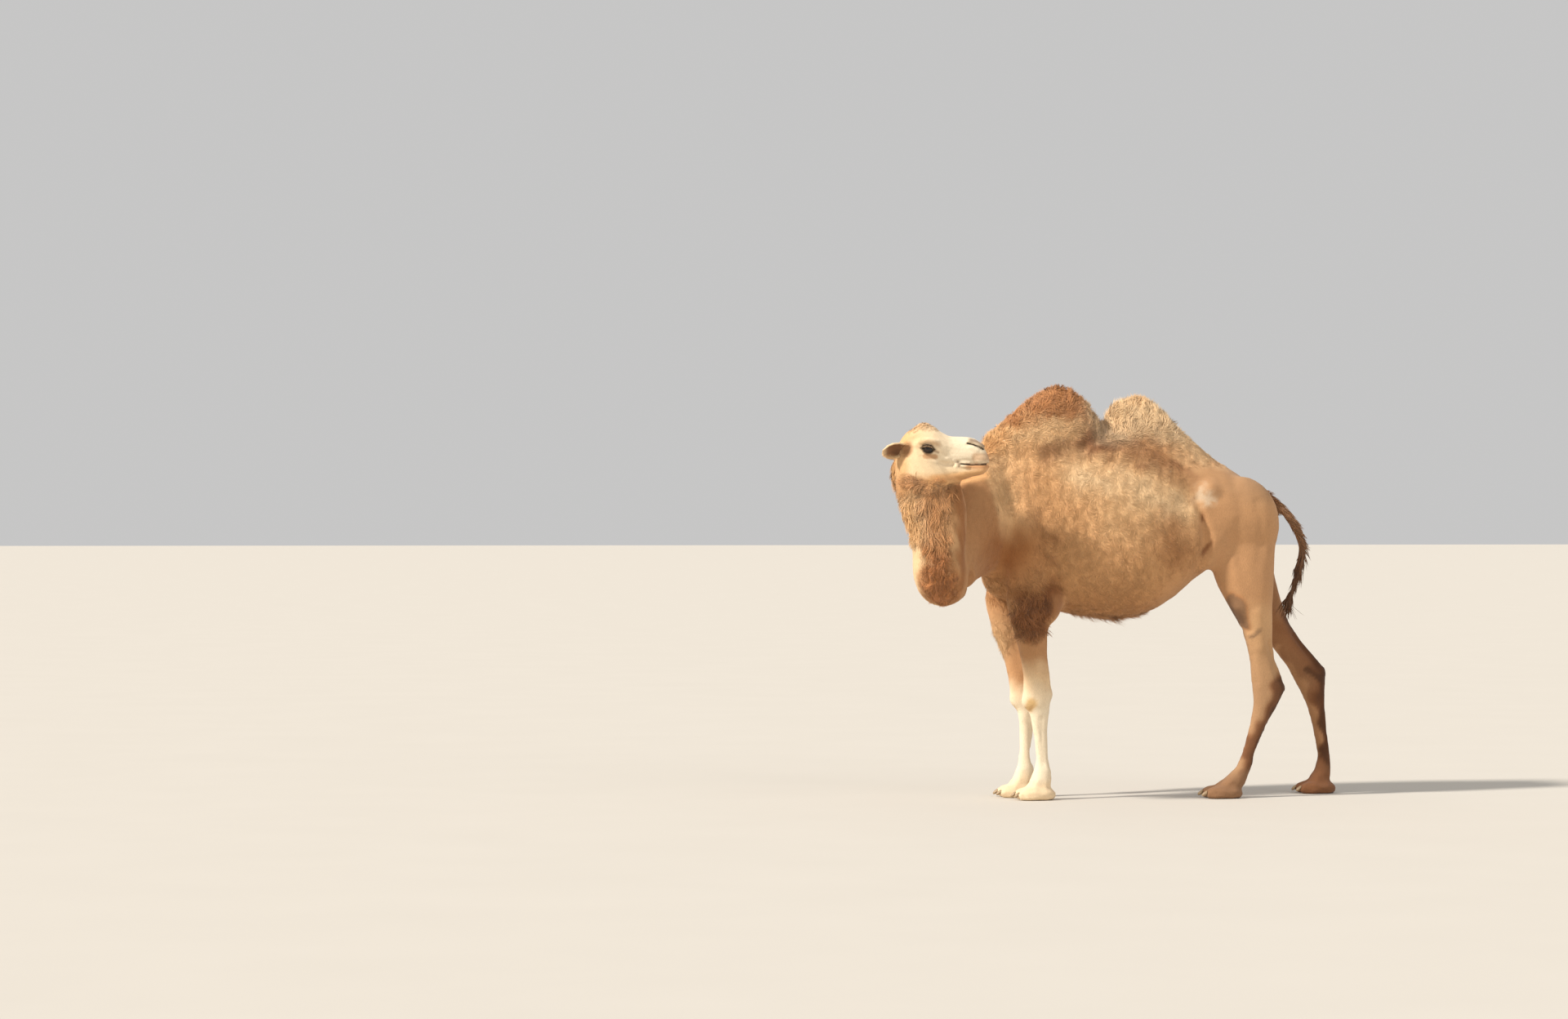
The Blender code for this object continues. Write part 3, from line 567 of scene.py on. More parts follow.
# %% Forelegs
KNEES = {-1: (-0.392, 0.108, 0), 1: (-0.402, 0.102, 0)}
FORELEG = (
    ((-0.06, 0, 0.475), (0.05, 0.06, 0.062), -0.011),  # knee pad
    ((-0.062, 0, 0.405), (0.03, 0.05, 0.026), 0.006),
    ((0.066, 0, 0.51), (0.034, 0.04, 0.05), -0.009),  # small bone behind the knee
    ((0, -0.055, 0.58), (0.055, 0.032, 0.06), 0.008),
    ((0, -0.055, 0.47), (0.035, 0.028, 0.04), -0.005),
    ((0, 0.055, 0.58), (0.055, 0.032, 0.06), 0.008),
    ((0, 0.055, 0.47), (0.035, 0.028, 0.04), -0.005),
    (((-0.035, 0.82), (-0.01, 0.63)), 0.035, -0.007),
    (((0.03, 0.8), (0.036, 0.56)), 0.018, 0.007),
    (((0.012, 0.4), (0.026, 0.17)), 0.013, 0.0065),  # groove of the cannon
    ((0.045, 0, 0.135), (0.035, 0.055, 0.035), -0.006),
)
for side in SIDES:
    points = carve(points, b, FORELEG, side, KNEES[side])
print("forelegs sculpted")

# %% Hind legs
TENDON, CANNON = (0.02, 0.01), (0.013, 0.007)  # reach and depth
GASKIN, SHIN = (0.045, -0.008), (0.018, 0.004)
HIND_LEGS = {
    -1: (
        (((0.752, 0.76), (0.783, 0.65), (0.808, 0.575)), *TENDON),
        (((0.79, 0.45), (0.737, 0.325), (0.688, 0.2)), *CANNON),
        (((0.69, 0.9), (0.715, 0.74)), *GASKIN),
        (((0.672, 0.7), (0.7, 0.56)), *SHIN),
    ),
    1: (
        (((0.955, 0.79), (1.02, 0.7), (1.07, 0.635)), *TENDON),
        (((1.09, 0.47), (1.112, 0.33), (1.128, 0.19)), *CANNON),
        (((0.835, 0.92), (0.915, 0.78)), *GASKIN),
        (((0.925, 0.7), (0.985, 0.6)), *SHIN),
    ),
}
HOCKS = {-1: (0.846, 0, 0.532), 1: (1.11, 0, 0.61)}
HOCK = (
    ((0, 0.112, 0), (0.035, 0.06, 0.04), -0.007),
    ((-0.07, 0.16, -0.03), (0.035, 0.03, 0.04), -0.006),
)
STIFLES = {-1: (0.6, 0, 0.92), 1: (0.69, 0, 0.95)}
STIFLE = (
    ((0, 0.19, 0), (0.06, 0.06, 0.08), -0.009),
    (((-0.005, -0.085), (0.05, -0.105)), 0.02, 0.006),
)
for side in SIDES:
    points = carve(points, b, HIND_LEGS[side], side)
    points = carve(points, b, HOCK, side, HOCKS[side])
    points = carve(points, b, STIFLE, side, STIFLES[side])
print("hind legs sculpted")

# %% Toes, and smooth shanks
TOE_CLEFT = ((((0.005, 0, 0.05), (0.085, 0, 0.075)), 0.02, 0.009),)
for node in NODE_NAMES:
    if node.endswith("_foot"):
        low, high = np.array(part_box(node)) - WITHERS_FLOOR
        points = carve(points, b, TOE_CLEFT, 1, (low[0], (low[1] + high[1]) / 2, 0))
height = b[:, 2]
points = relax(points, 2, ramp(height, 0.8, 0.6) * ramp(height, 0.03, 0.06))
near_cannon = mark(b, ((0.843, 0.527), (0.783, 0.387), (0.722, 0.248), (0.662, 0.133)), 0.05, -1)
points = relax(points, 14, near_cannon * ramp(height, 0.5, 0.44))
print("legs and feet sculpted")

# %% [markdown]
# ## The face
#
# The bones of the face show as a brow, a cheekbone and a jaw line, with hollows between. The
# nostril is a slit under a soft wing. All of these are strokes in the head's axes, where a
# place is forward, left and up from between the eyes.

# %% Cheeks and nostrils
NOSTRIL = ((0.188, 0.026), (0.215, 0.019), (0.24, 0.009), (0.262, -0.002))  # forward and up
FACE = (
    (((-0.045, 0.08, 0.03), (0, 0.088, 0.04), (0.045, 0.07, 0.03)), 0.022, -0.005),  # brow
    ((-0.065, 0.075, 0.045), (0.04, 0.04, 0.035), 0.007),  # temple
    (((0.03, 0.078, -0.006), (0.06, 0.066, -0.022), (0.085, 0.058, -0.036)), 0.014, 0.0035),  # tear line
    (((-0.03, 0.09, -0.034), (0, 0.092, -0.04), (0.03, 0.086, -0.034)), 0.01, 0.0025),  # under the eye
    (((-0.05, 0.08, -0.055), (0.03, 0.078, -0.06), (0.1, 0.056, -0.05)), 0.022, -0.004),  # cheekbone
    ((0.11, 0.055, -0.02), (0.055, 0.03, 0.04), 0.004),
    (((0.02, 0.06, -0.145), (0.1, 0.05, -0.14), (0.17, 0.04, -0.128)), 0.02, -0.003),  # jaw line
    (((0.196, 0.036), (0.232, 0.026), (0.262, 0.01)), 0.014, -0.0055),  # wing of the nostril
    (NOSTRIL, 0.0065, 0.013),
    (((0.2, 0.006), (0.235, -0.008)), 0.014, -0.003),
    (((0.14, -0.06), (0.156, -0.072), (0.15, -0.086)), 0.01, 0.004),  # corner of the mouth
    (((0.122, -0.058), (0.134, -0.074), (0.132, -0.09)), 0.01, -0.003),
)
h = head_axes(points)
for side in SIDES:
    points = relax(points, 24, mark(h, (0.085, 0.055, -0.072), (0.075, 0.05, 0.032), side, 2))
for side in SIDES:
    points = carve(points, h, FACE, side)
print("cheeks and nostrils sculpted")

# %% [markdown]
# Lids are made by letting the skin lie on the eyeball, a few millimetres proud, and dive behind it
# inside the opening. The opening is an almond between two arches, tilted a little, and the
# upper lid is the thicker one.

# %% Eyelids
LID = 0.0034  # thickness of the lids over the ball
OPEN_HALF = 0.0265  # half the length of the eye's opening
OPEN_UP, OPEN_DOWN = 0.013, 0.014
ROUNDNESS = 0.65  # power of the arches
TILT = 0.1


def eye_opening(points, side):
    """Over 0 inside the almond between the lids, and where the points are: forward, up, outward."""
    d = points - EYE_CENTRES[side]
    f, u = d @ HEAD_FORWARD, d @ UP
    tilted = u + TILT * f
    arch = np.clip(1 - (f / OPEN_HALF) ** 2, 0, 1) ** ROUNDNESS
    past_corner = np.maximum(np.abs(f) - OPEN_HALF, 0)
    opening = np.where(tilted > 0, OPEN_UP * arch - tilted, OPEN_DOWN * arch + tilted) - past_corner
    return opening, f, u, side * (d @ HEAD_LEFT)


def lids(points, side):
    opening, f, u, outward = eye_opening(points, side)
    d = points - EYE_CENTRES[side]
    r = np.linalg.norm(d, axis=1)
    out = outward / np.maximum(r, 1e-6)
    inside = ramp(opening, -0.0006, 0.0012) * (out > 0.2) * (r < 2 * EYE_RADIUS)
    sheet = EYE_RADIUS + LID + 0.004 * blob(np.stack((f, u), 1), (0, 0.019), (0.034, 0.01))
    wanted = sheet * (1 - inside) + (EYE_RADIUS - 0.007) * inside
    near = ramp(r, EYE_RADIUS + 0.022, EYE_RADIUS + 0.004) * ramp(out, 0.05, 0.45)
    return points + unit(d) * ((wanted - r) * np.maximum(near, inside))[:, None]


for side in SIDES:
    points = lids(points, side)
print("eyelids laid over the balls")

# %% [markdown]
# The lips part a little, so the skin is drawn in along a curved line and the lips are
# swollen above and below it. The upper lip is split in the middle, as in every camel.

# %% Lips
h = head_axes(points)
f, s, u = h.T
lip_line = -0.072 - 0.004 * ramp(f, 0.15, 0.21) + 0.003 * ramp(f, 0.22, 0.29)
off_line = np.abs(u - lip_line)
at_mouth = (f < 0.32) * (np.abs(s) < 0.1) * belongs(label, ("head", "lower_jaw"))
in_mouth = ease(1 - off_line / 0.005) * ramp(f, 0.146, 0.172) * at_mouth
inward = unit(np.stack((0.6 * (0.215 - f), -s, np.zeros(len(h))), 1))
in_frame = inward[:, :1] * HEAD_FORWARD + inward[:, 1:2] * HEAD_LEFT
points = points + in_frame * (in_mouth * 0.011)[:, None]
points = carve(points, h, ((((0.298, 0, -0.02), (0.3, 0, -0.066)), 0.008, 0.006),))
around = ramp(off_line, 0.03, 0.008) * ramp(f, 0.15, 0.19) * at_mouth
over, under = around * (u > lip_line), around * (u < lip_line)
points = press(points, over * ease(1 - np.abs(off_line - 0.014) / 0.012), -0.003)
points = press(points, under * ease(1 - np.abs(off_line - 0.011) / 0.01), -0.0055)
points = press(points, under * ease(1 - np.abs(off_line - 0.026) / 0.008), 0.003)
points = relax(points, 6, ease(1.2 - off_line / 0.012) * ramp(f, 0.14, 0.16) * at_mouth)
set_corners(skin.data, points)
take(skin)
bpy.ops.object.shade_smooth()
print("face sculpted; skin triangles:", sum(len(p.vertices) - 2 for p in skin.data.polygons))

# %% [markdown]
# ## Lie of the coat
#
# Hair grows along a direction that flows over the body: back from the nose, down the neck, back and
# down over the ribs, up the humps, down the legs. Each body part gets a direction, which is then
# laid flat on the skin and blurred, so that it turns gently where two parts meet.

# %% Direction fields
LIES = {
    "head": -0.9 * HEAD_FORWARD - 0.35 * UP,
    "lower_jaw": -0.95 * HEAD_FORWARD - 0.2 * UP,
    "eye": -0.9 * HEAD_FORWARD - 0.3 * UP,
    "ear": -HEAD_FORWARD,
    "neck": (0.1, 0, -1),
    "trunk": (0.5, 0, -0.86),
    "hump": (0.75, 0, -0.4),
    "foreleg": (0.12, 0, -1),
    "hind_leg": (0.1, 0, -1),
    "tail_dock": (0.75, 0, -0.7),
    "tail_tuft": (-0.25, 0, -1),
}


def combed(lie, way, mask):
    return unit(lie * (1 - mask[:, None]) + np.array(way) * mask[:, None])


def flat_on_skin(ways, outward):
    return unit(ways - (ways * outward).sum(axis=1, keepdims=True) * outward)


points = corners(skin.data)
outward = normals_of(skin.data)
b, h = body_axes(points), head_axes(points)
lie = np.zeros((len(points), 3))
for stem, way in LIES.items():
    lie[belongs(label, stem)] = unit(way)
lie = combed(lie, (0.55, 0, 0.45), mark(b, FRONT_CREST, 0.2, firm=1.6))
lie = combed(lie, (0.25, 0, 1), mark(b, REAR_CREST, 0.24, firm=1.6))
lie = combed(lie, (0.35, 0, -0.95), haunch(b) * ~belongs(label, "tail"))
lie = combed(lie, 0.35 * HEAD_FORWARD + 0.3 * UP - 0.2 * HEAD_LEFT, topknot)
lie = flat_on_skin(soften(flat_on_skin(lie, outward), 10), outward)
print("coat lies along", len(lie), "directions")

# %% [markdown]
# Short hair is thin, lies flat and grows one way. The longer wool is, the wider its locks, the more
# they stand and the more they curl. So width, lift and curl all start from the length, and only
# the throat, the mane, the humps and the tail have their own habits.

# %% Habit of the coat
width = np.interp(length, (0.006, 0.01, 0.022, 0.045, 0.09), (0.0013, 0.0018, 0.0025, 0.0029, 0.0036))
lift = np.interp(length, (0.009, 0.013, 0.022), (5, 8, 17))  # degrees over the skin
curl = np.interp(length, (0.01, 0.02), (14, 62))  # degrees to either side
# roots darker than tips: partly the wool's own colour, partly painted shade deep in the coat
root_shade = np.interp(length, (0.01, 0.022, 0.06), (0.97, 0.88, 0.72))
tip_shade = np.interp(length, (0.01, 0.03), (1.02, 1.08))
HABITS = (  # where, lift and curl
    (front_crest, 30, 100),
    (rear_crest, 24, 60),
    (throat_band(b), 12, 22),
    (np.maximum(nape_band(b), mane_top), 24, 22),
    (elbow_wool, 15, 45),
    (jaw_wool, 20, 75),
    (topknot, 13, 120),
    (fringe, 34, 40),
    (labelled("tail"), 9, 12),
)
for where, lift_there, curl_there in HABITS:
    lift = toward(lift, lift_there, where)
    curl = toward(curl, curl_there, where)
root_shade = toward(root_shade, 0.96, np.maximum(topknot, mane_top))
print("locks from", width.min(), "to", width.max(), "m wide")

# %% [markdown]
# ## Markings
#
# Masks paint the whole animal: each row names a colour, where it lies and how strong it is. The skin
# and every tuft take their colour from it, so a marking can't slip between them. Colours
# are given as the eye sees them and turned into the linear values that light sums need.

# %% Colours of the animal
CREAM = (0.945, 0.825, 0.655)
WHITE_HAIR = (0.96, 0.9, 0.79)
SAND = (0.93, 0.76, 0.56)
TAN = (0.84, 0.63, 0.425)
FAWN = (0.76, 0.57, 0.4)
UMBER = (0.63, 0.415, 0.24)
APRICOT = (0.91, 0.7, 0.47)
RUST = (0.72, 0.47, 0.28)
BROWN = (0.51, 0.315, 0.185)
DARK_BROWN = (0.3, 0.19, 0.12)
CALLUS = (0.83, 0.66, 0.4)
GREY_SKIN = (0.5, 0.395, 0.3)
DUST = (0.61, 0.475, 0.35)
LIP = (0.83, 0.6, 0.4)
# dark skin of the lid rims, also used as painted shade in the nostril slits and between the lips
LID_RIM_AND_GAP_SHADE = (0.11, 0.07, 0.05)
NOSE_SKIN = (0.56, 0.45, 0.35)


def linear(colour):
    c = np.array(colour, dtype=float)
    return np.where(c <= 0.04045, c / 12.92, ((c + 0.055) / 1.055) ** 2.4)


class Paint:
    """The colours of the skin's points, built up from soft masks."""

    def __init__(self, count, ground):
        self.colour = np.tile(linear(ground), (count, 1))

    def lay(self, *coats):
        """Lays coats of colour, mask and strength, one over the other."""
        for colour, mask, strength in coats:
            m = np.clip(mask * strength, 0, 1)[:, None]
            self.colour = self.colour * (1 - m) + linear(colour) * m

    def lay_pairs(self, axes, *marks):
        """Lays marks of colour, place, reach, firmness, strength and perhaps a factor on both sides."""
        for side in SIDES:
            for colour, place, reach, firm, strength, *factor in marks:
                mask = mark(axes, place, reach, side, firm)
                self.lay((colour, mask * factor[0] if factor else mask, strength))


def part(*stems):
    """1 on some solids' skin, fading where they end."""
    return soften(labelled(*stems), 5)


paint = Paint(len(points), SAND)
on_head, on_ear, on_neck = part("head", "lower_jaw", "eye"), part("ear"), part("neck")
on_trunk, on_fore, on_hind, on_tail = part("trunk"), part("foreleg"), part("hind_leg"), part("tail")
flow, patches = ripple(b, 0.55, 3), ripple(b, 0.16, 8)
b = b + 0.016 * np.stack([ripple(b, 0.1, seed) for seed in (21, 22, 23)], axis=1)  # bends every edge
x, y, z = b.T
print("palette ready")

# %% [markdown]
# The trunk is tan, darker towards the belly, partly as painted shade, with a band of painted sunlight
# along the upper flank. Painted shade darkens the shoulder, the fold behind it and the saddle, and a
# painted shadow runs under the humps. The front hump wears a rust-coloured cap with a wavy edge,
# the rear one a cream one.

# %% Paint the trunk and humps
CAP_EDGE = (  # along the body and up
    (-0.616, -0.545, -0.428, -0.309, -0.191, -0.096, -0.001),
    (1.735, 1.79, 1.838, 1.846, 1.83, 1.79, 1.724),
)
HUMP_SHADOW = ((-0.36, 1.68), (-0.22, 1.71), (-0.06, 1.75), (0.1, 1.68), (0.34, 1.55))
SUNLIT_BAND = ((-0.2, 1.58), (-0.04, 1.55), (0.12, 1.49), (0.27, 1.42))
over_edge = z - np.interp(x, *CAP_EDGE) + 0.02 * patches
saddle = mark(b, (0.02, 0, 1.72), (0.45, 0.6, 0.2))
paint.lay(
    (TAN, on_trunk * (0.35 + 0.45 * flow), 1),
    # darker towards the belly: partly the coat's own tan and umber, partly painted shade where the barrel
    # turns under
    (TAN, on_trunk * ramp(z, 1.42, 1.15), 0.85),
    (UMBER, on_trunk * ramp(z + 0.05 * flow, 1.15, 0.9), 0.55),
    (FAWN, on_trunk * ramp(x, 0.1, 0.34) * ramp(z, 1.5, 1.3), 0.5),
)
paint.lay_pairs(
    b,
    # partly the coat's umber, partly painted shade: the shoulder darkened where the head and neck shade it
    (UMBER, (-0.56, 0.22, 1.22), (0.32, 0.35, 0.32), 0, 1.1),
    # painted shade in the fold behind the shoulder
    (BROWN, BEHIND_SHOULDER, 0.06, 1.4, 0.75),
)
paint.lay(
    (UMBER, on_trunk * mark(b, (0.03, 0, 1.3), (0.2, 0.6, 0.14)) * (0.7 + 0.6 * patches), 0.4),
    # partly the coat's brown, partly painted shade: the saddle between the humps, in the front hump's shadow
    (TAN, saddle, 0.6),
    (UMBER, ease(1.5 * saddle) * (0.75 + 0.25 * patches), 0.75),
    (APRICOT, mark(b, FRONT_CREST, 0.165, firm=2.0), 0.85),
    (RUST, ramp(over_edge, -0.03, 0.05) * ramp(x, 0.02, -0.03) * ramp(x, -0.66, -0.5), 0.8),
    # painted shade: a brown patch between the humps, in the front hump's shadow
    (BROWN, mark(b, (-0.08, 0, 1.74), (0.2, 0.34, 0.17), firm=1.4), 0.85),
)
paint.lay_pairs(
    b,
    # painted shadow: a brown band under the humps, where their shadow falls on the flank
    (BROWN, HUMP_SHADOW, 0.085, 1.5, 0.62, 0.85 + 0.3 * patches),
    # painted light: a paler sand and cream band where sunlight falls on the upper flank
    (SAND, SUNLIT_BAND, 0.19, 0, 0.8, 0.9 + 0.3 * flow),
    (CREAM, SUNLIT_BAND, 0.13, 0, 0.5, 0.9 + 0.3 * patches),
    # painted shade behind the elbow
    (UMBER, ((-0.33, 1.04), (-0.3, 0.95)), 0.09, 0, 0.7),
    # painted light: paler where light falls on the top of the shoulder
    (SAND, ((-0.66, 1.5), (-0.58, 1.4)), 0.2, 0, 0.75),
    (UMBER, ((0.22, 1.33), (0.25, 1.2)), 0.15, 0, 0.55),
)
paint.lay(
    (CREAM, mark(b, REAR_CREST, 0.28, firm=1.8), 0.65),
    (APRICOT, mark(b, (0.12, 0, 1.95), (0.24, 0.2, 0.08)), 0.6),
    (CREAM, mark(b, (0.38, 0, 1.66), (0.22, 0.3, 0.14)), 0.7),
    (BROWN, mark(b, (-0.05, 0, 0.83), (0.42, 0.16, 0.09)), 0.9),
)
print("trunk and humps painted")

# %% [markdown]
# The neck is brown where it is low, partly as painted shade, and sand-coloured where it stands upright.
# Painted shade darkens the side that faces the tail, and painted light makes the near side palest towards
# the nape. The throat's locks are tan, and rust-coloured lower down.

# %% Paint the neck
neck_up = on_neck * upright_neck(b)
throat = throat_band(b) * on_neck
paint.lay(
    # partly the coat's umber, partly painted shade: the low neck darker, least where the far side meets the
    # trunk
    (UMBER, on_neck * (1 - 0.75 * ramp(x, -0.78, -0.58) * ramp(y, -0.16, 0.04)), 0.75),
    (SAND, neck_up * (1 - throat_band(b)), 0.85),
    # painted shade on the side of the upright neck that faces the tail
    (UMBER, neck_up * ramp(np.abs(neck_angle(b)), 80, 35), 0.95),
    # painted light: the near side paler towards the nape, where light falls
    (CREAM, neck_up * ramp(neck_angle(b), 118, 150) * (1 - throat_band(b)), 0.5),
    (TAN, throat, 0.9),
    (RUST, throat, 0.25),
    # more painted light higher up the near side
    (CREAM, neck_up * ramp(neck_angle(b), 105, 150) * ramp(z, 1.2, 1.4), 0.5),
    (RUST, throat * ramp(z, 1.34, 1.18), 0.9),
    (APRICOT, nape_band(b) * on_neck, 0.8),
)
print("body painted")

# %% [markdown]
# The haunch is sleek and dusty, with a pale worn patch on the hip bone. The forelegs are white below
# the wool, apart from the yellowish knee pads.

# %% Paint the haunch and forelegs
rump = haunch(b) * (1 - on_tail)
paint.lay((FAWN, rump, 0.85), (DUST, rump * ramp(x, 0.5, 0.66) * ramp(z, 1.4, 1.52), 0.55))
for side in SIDES:
    hip = mark(b, (0.415, 0.22, 1.47), (0.095, 0.18, 0.085), side)
    paint.lay((WHITE_HAIR, ease(1.6 * hip * (0.7 + 0.5 * ripple(b, 0.05, 12))), 0.45))
# painted shade in the flank fold in front of the thigh
paint.lay_pairs(b, (BROWN, ((0.385, 0.26, 1.43), (0.418, 0.26, 1.3), (0.424, 0.24, 1.18)), 0.03, 1.5, 0.85))
paint.lay(
    (TAN, on_fore * ramp(z, 1.3, 1.1), 0.8),
    # partly the coat's fawn, partly painted shade: the upper foreleg darker under the body
    (FAWN, on_fore * ramp(z, 1.1, 0.9), 0.85),
    (SAND, on_fore * ease(1.5 * far_fore), 0.8),
    # painted shade on the near forearm
    (UMBER, on_fore * ramp(z, 0.86, 0.78) * ramp(y, 0.02, -0.02), 0.25),
    (CREAM, on_fore * ramp(z + 0.02 * patches + 0.1 * ramp(y, -0.02, 0.04), 0.7, 0.58), 0.85),
    (WHITE_HAIR, on_fore * ramp(z, 0.6, 0.42), 0.8),
    (CREAM, on_fore * ramp(z, 0.14, 0.05), 0.7),
)
for side, (knee_x, knee_y, _) in KNEES.items():
    paint.lay(
        (CALLUS, mark(b, (knee_x - 0.05, knee_y + 0.03, 0.455), (0.05, 0.07, 0.065), side, 1.5), 0.8),
        # painted shade in the crease under the knee pad
        (UMBER, mark(b, (knee_x - 0.052, knee_y + 0.03, 0.43), (0.024, 0.05, 0.026), side), 0.9),
    )
paint.lay_pairs(
    b,
    (UMBER, (-0.44, 0.19, 0.93), (0.16, 0.15, 0.19), 1.5, 0.9),
    (BROWN, (-0.44, 0.19, 0.93), (0.16, 0.15, 0.19), 1.5, 0.5),
    (BROWN, (-0.325, 0.19, 0.985), (0.08, 0.14, 0.12), 1.5, 0.6),
)
print("haunch and forelegs painted")

# %% [markdown]
# The hind legs darken down their back edges, the far one most, and each has a grey callus on the
# stifle where the animal kneels. The far leg is also darker on its inner side, partly its own brown
# and partly painted shade, and painted shadow darkens its foot.

# %% Paint the hind legs and tail
NEAR_BACK = ((0.81, 0.56), (0.796, 0.44), (0.73, 0.33), (0.668, 0.21), (0.645, 0.1))
FAR_BACK = ((0.95, 0.85), (1.045, 0.72), (1.11, 0.62), (1.112, 0.42), (1.125, 0.29), (1.135, 0.12))
FAR_FRONT = ((0.87, 0.706), (0.93, 0.626), (1.016, 0.479), (1.064, 0.36), (1.084, 0.2))
STIFLE_CALLUS = np.array(((0.566, 0.96), (0.58, 0.91), (0.606, 0.868)))
far_leg = on_hind * ramp(y, 0.02, 0.06)
paint.lay(
    (FAWN, on_hind, 0.9),
    (SAND, on_hind * ramp(z, 1, 0.85) * ramp(y, 0.02, -0.02), 0.45),
    (DUST, on_hind * ramp(z, 0.95, 0.45), 0.7),
    (BROWN, on_hind * ramp(z, 1.05, 0.75), 0.12),
    (BROWN, mark(b, NEAR_BACK, 0.07, -1, 1.4) * on_hind, 0.85),
    (DARK_BROWN, mark(b, NEAR_BACK, 0.055, -1, 1.4) * on_hind, 0.4),
    (DARK_BROWN, mark(b, np.array(NEAR_BACK) + (0.026, 0), 0.036, -1, 1.4) * on_hind, 0.7),
    # partly the coat's brown, partly painted shade: the far leg's inner side
    (BROWN, far_leg * ramp(y, 0.2, 0.12) * ramp(z, 1.25, 0.95), 0.5),
    (BROWN, mark(b, FAR_BACK, 0.11) * far_leg, 1),
    (DARK_BROWN, mark(b, FAR_BACK, 0.065) * far_leg, 0.85),
    (DARK_BROWN, mark(b, ((1.03, 0.61), (1.09, 0.58)), 0.04, firm=1.4) * far_leg, 0.7),
    (FAWN, mark(b, FAR_FRONT, 0.036, firm=1.4) * far_leg, 0.6),
    (DUST, on_hind * ramp(z, 0.16, 0.08), 0.9),
    (BROWN, on_hind * ramp(z, 0.15, 0.06), 0.35),
    # painted shadow on the far foot
    (BROWN, far_leg * ramp(z, 0.18, 0.09), 0.7),
)
for side, shift in ((-1, (0, 0)), (1, (0.09, 0))):
    callus = STIFLE_CALLUS + shift
    paint.lay(
        (RUST, mark(b, callus, 0.066, side, 2) * on_hind, 0.6),
        (GREY_SKIN, mark(b, callus, 0.05, side, 2) * on_hind, 0.75),
        (DARK_BROWN, mark(b, callus[1:], 0.026, side, 1.5) * on_hind, 0.45),
        (GREY_SKIN, mark(b, np.array(((0.66, 0.8), (0.69, 0.822))) + shift, 0.02, side) * on_hind, 0.8),
    )
paint.lay(
    (UMBER, mark(b, (0.79, 0, 1.52), (0.13, 0.1, 0.11), firm=1.4), 0.6),
    (BROWN, on_tail, 0.8),
    (DARK_BROWN, on_tail * ramp(z, 1.36, 1.1), 0.6),
)
print("haunch, legs and tail painted")

# %% [markdown]
# The face is the palest part: cream, almost white down the nose, with fawn round the eye, dark lid
# rims, grey skin at the nostril and a warm lower lip.

# %% Paint the face
UNDER_JAW = ((0.03, -0.15), (0.12, -0.142), (0.2, -0.13), (0.27, -0.118))
f, s, u = h.T
paint.lay(
    (CREAM, on_head, 1),
    (WHITE_HAIR, on_head * ramp(f, -0.06, 0.16) * ramp(u, -0.12, -0.05), 0.75),
    (APRICOT, on_head * ramp(f, 0, -0.1) * ramp(u, -0.02, 0.08), 0.6),
    (TAN, topknot, 0.4),
    (TAN, topknot * ramp(u, 0.105, 0.13), 0.5),
    (APRICOT, on_head * ramp(f, -0.07, -0.115), 0.75),
    (APRICOT, mane_top, 0.9),
    (TAN, on_head * ramp(u, -0.105, -0.155), 0.85),
    (UMBER, jaw_wool, 0.45),
    (UMBER, mark(h, (0.292, 0, -0.035), (0.034, 0.06, 0.04)), 0.6),
    (LIP, mark(h, (0.265, 0, -0.09), (0.07, 0.06, 0.022)), 0.85),
)
paint.lay_pairs(
    h,
    (FAWN, ((-0.012, -0.036), (0.036, -0.038)), 0.02, 1.4, 0.85),
    # painted shade under the brow ridge
    (FAWN, ((-0.03, 0.036), (0.01, 0.032), (0.05, 0.02)), 0.022, 0, 0.45),
    (BROWN, ((0.022, -0.006), (0.05, -0.018)), 0.01, 0, 0.6),
)
for side in SIDES:
    rim, _, _, out_of_eye = eye_opening(points, side)
    by_eye = (out_of_eye > 0) * ramp(np.linalg.norm(points - EYE_CENTRES[side], axis=1), 0.056, 0.044)
    paint.lay(
        (DARK_BROWN, ramp(rim, -0.02, -0.008) * by_eye, 0.65),
        (LID_RIM_AND_GAP_SHADE, ramp(rim, -0.012, -0.006) * by_eye, 0.95),
    )
paint.lay_pairs(
    h,
    (NOSE_SKIN, ((0.205, 0.04), (0.24, 0.032), (0.268, 0.012)), 0.022, 0, 0.85),
    # painted shade inside the nostril slit
    (LID_RIM_AND_GAP_SHADE, NOSTRIL, 0.0055, 1.8, 0.97),
    (FAWN, ((0.228, -0.038), (0.275, -0.04)), 0.034, 1.3, 0.6),
    # partly the coat's colour, partly painted shade: warmer and darker under the jaw, which faces down
    (APRICOT, UNDER_JAW, 0.045, 1.3, 0.8),
    (TAN, UNDER_JAW, 0.032, 0, 0.8),
    (NOSE_SKIN, ((0.142, -0.062), (0.152, -0.086)), 0.013, 0, 0.7),
)
paint.lay(
    (LIP, ramp(off_line, 0.034, 0.01) * (u < lip_line) * ramp(f, 0.16, 0.2) * at_mouth, 0.9),
    (FAWN, ease(1 - off_line / 0.013) * (u > lip_line) * ramp(f, 0.15, 0.18) * at_mouth, 0.6),
    # painted shade in the gap between the lips
    (LID_RIM_AND_GAP_SHADE, ease(1.4 - off_line / 0.0045) * ramp(f, 0.143, 0.16) * at_mouth, 0.95),
)
print("face painted")

# %% [markdown]
# An ear is a pale cup, brown inside. Two directions, along the ear and out of the cup, tell its inside
# from its back: a point is inside when it lies behind the opening and faces it.

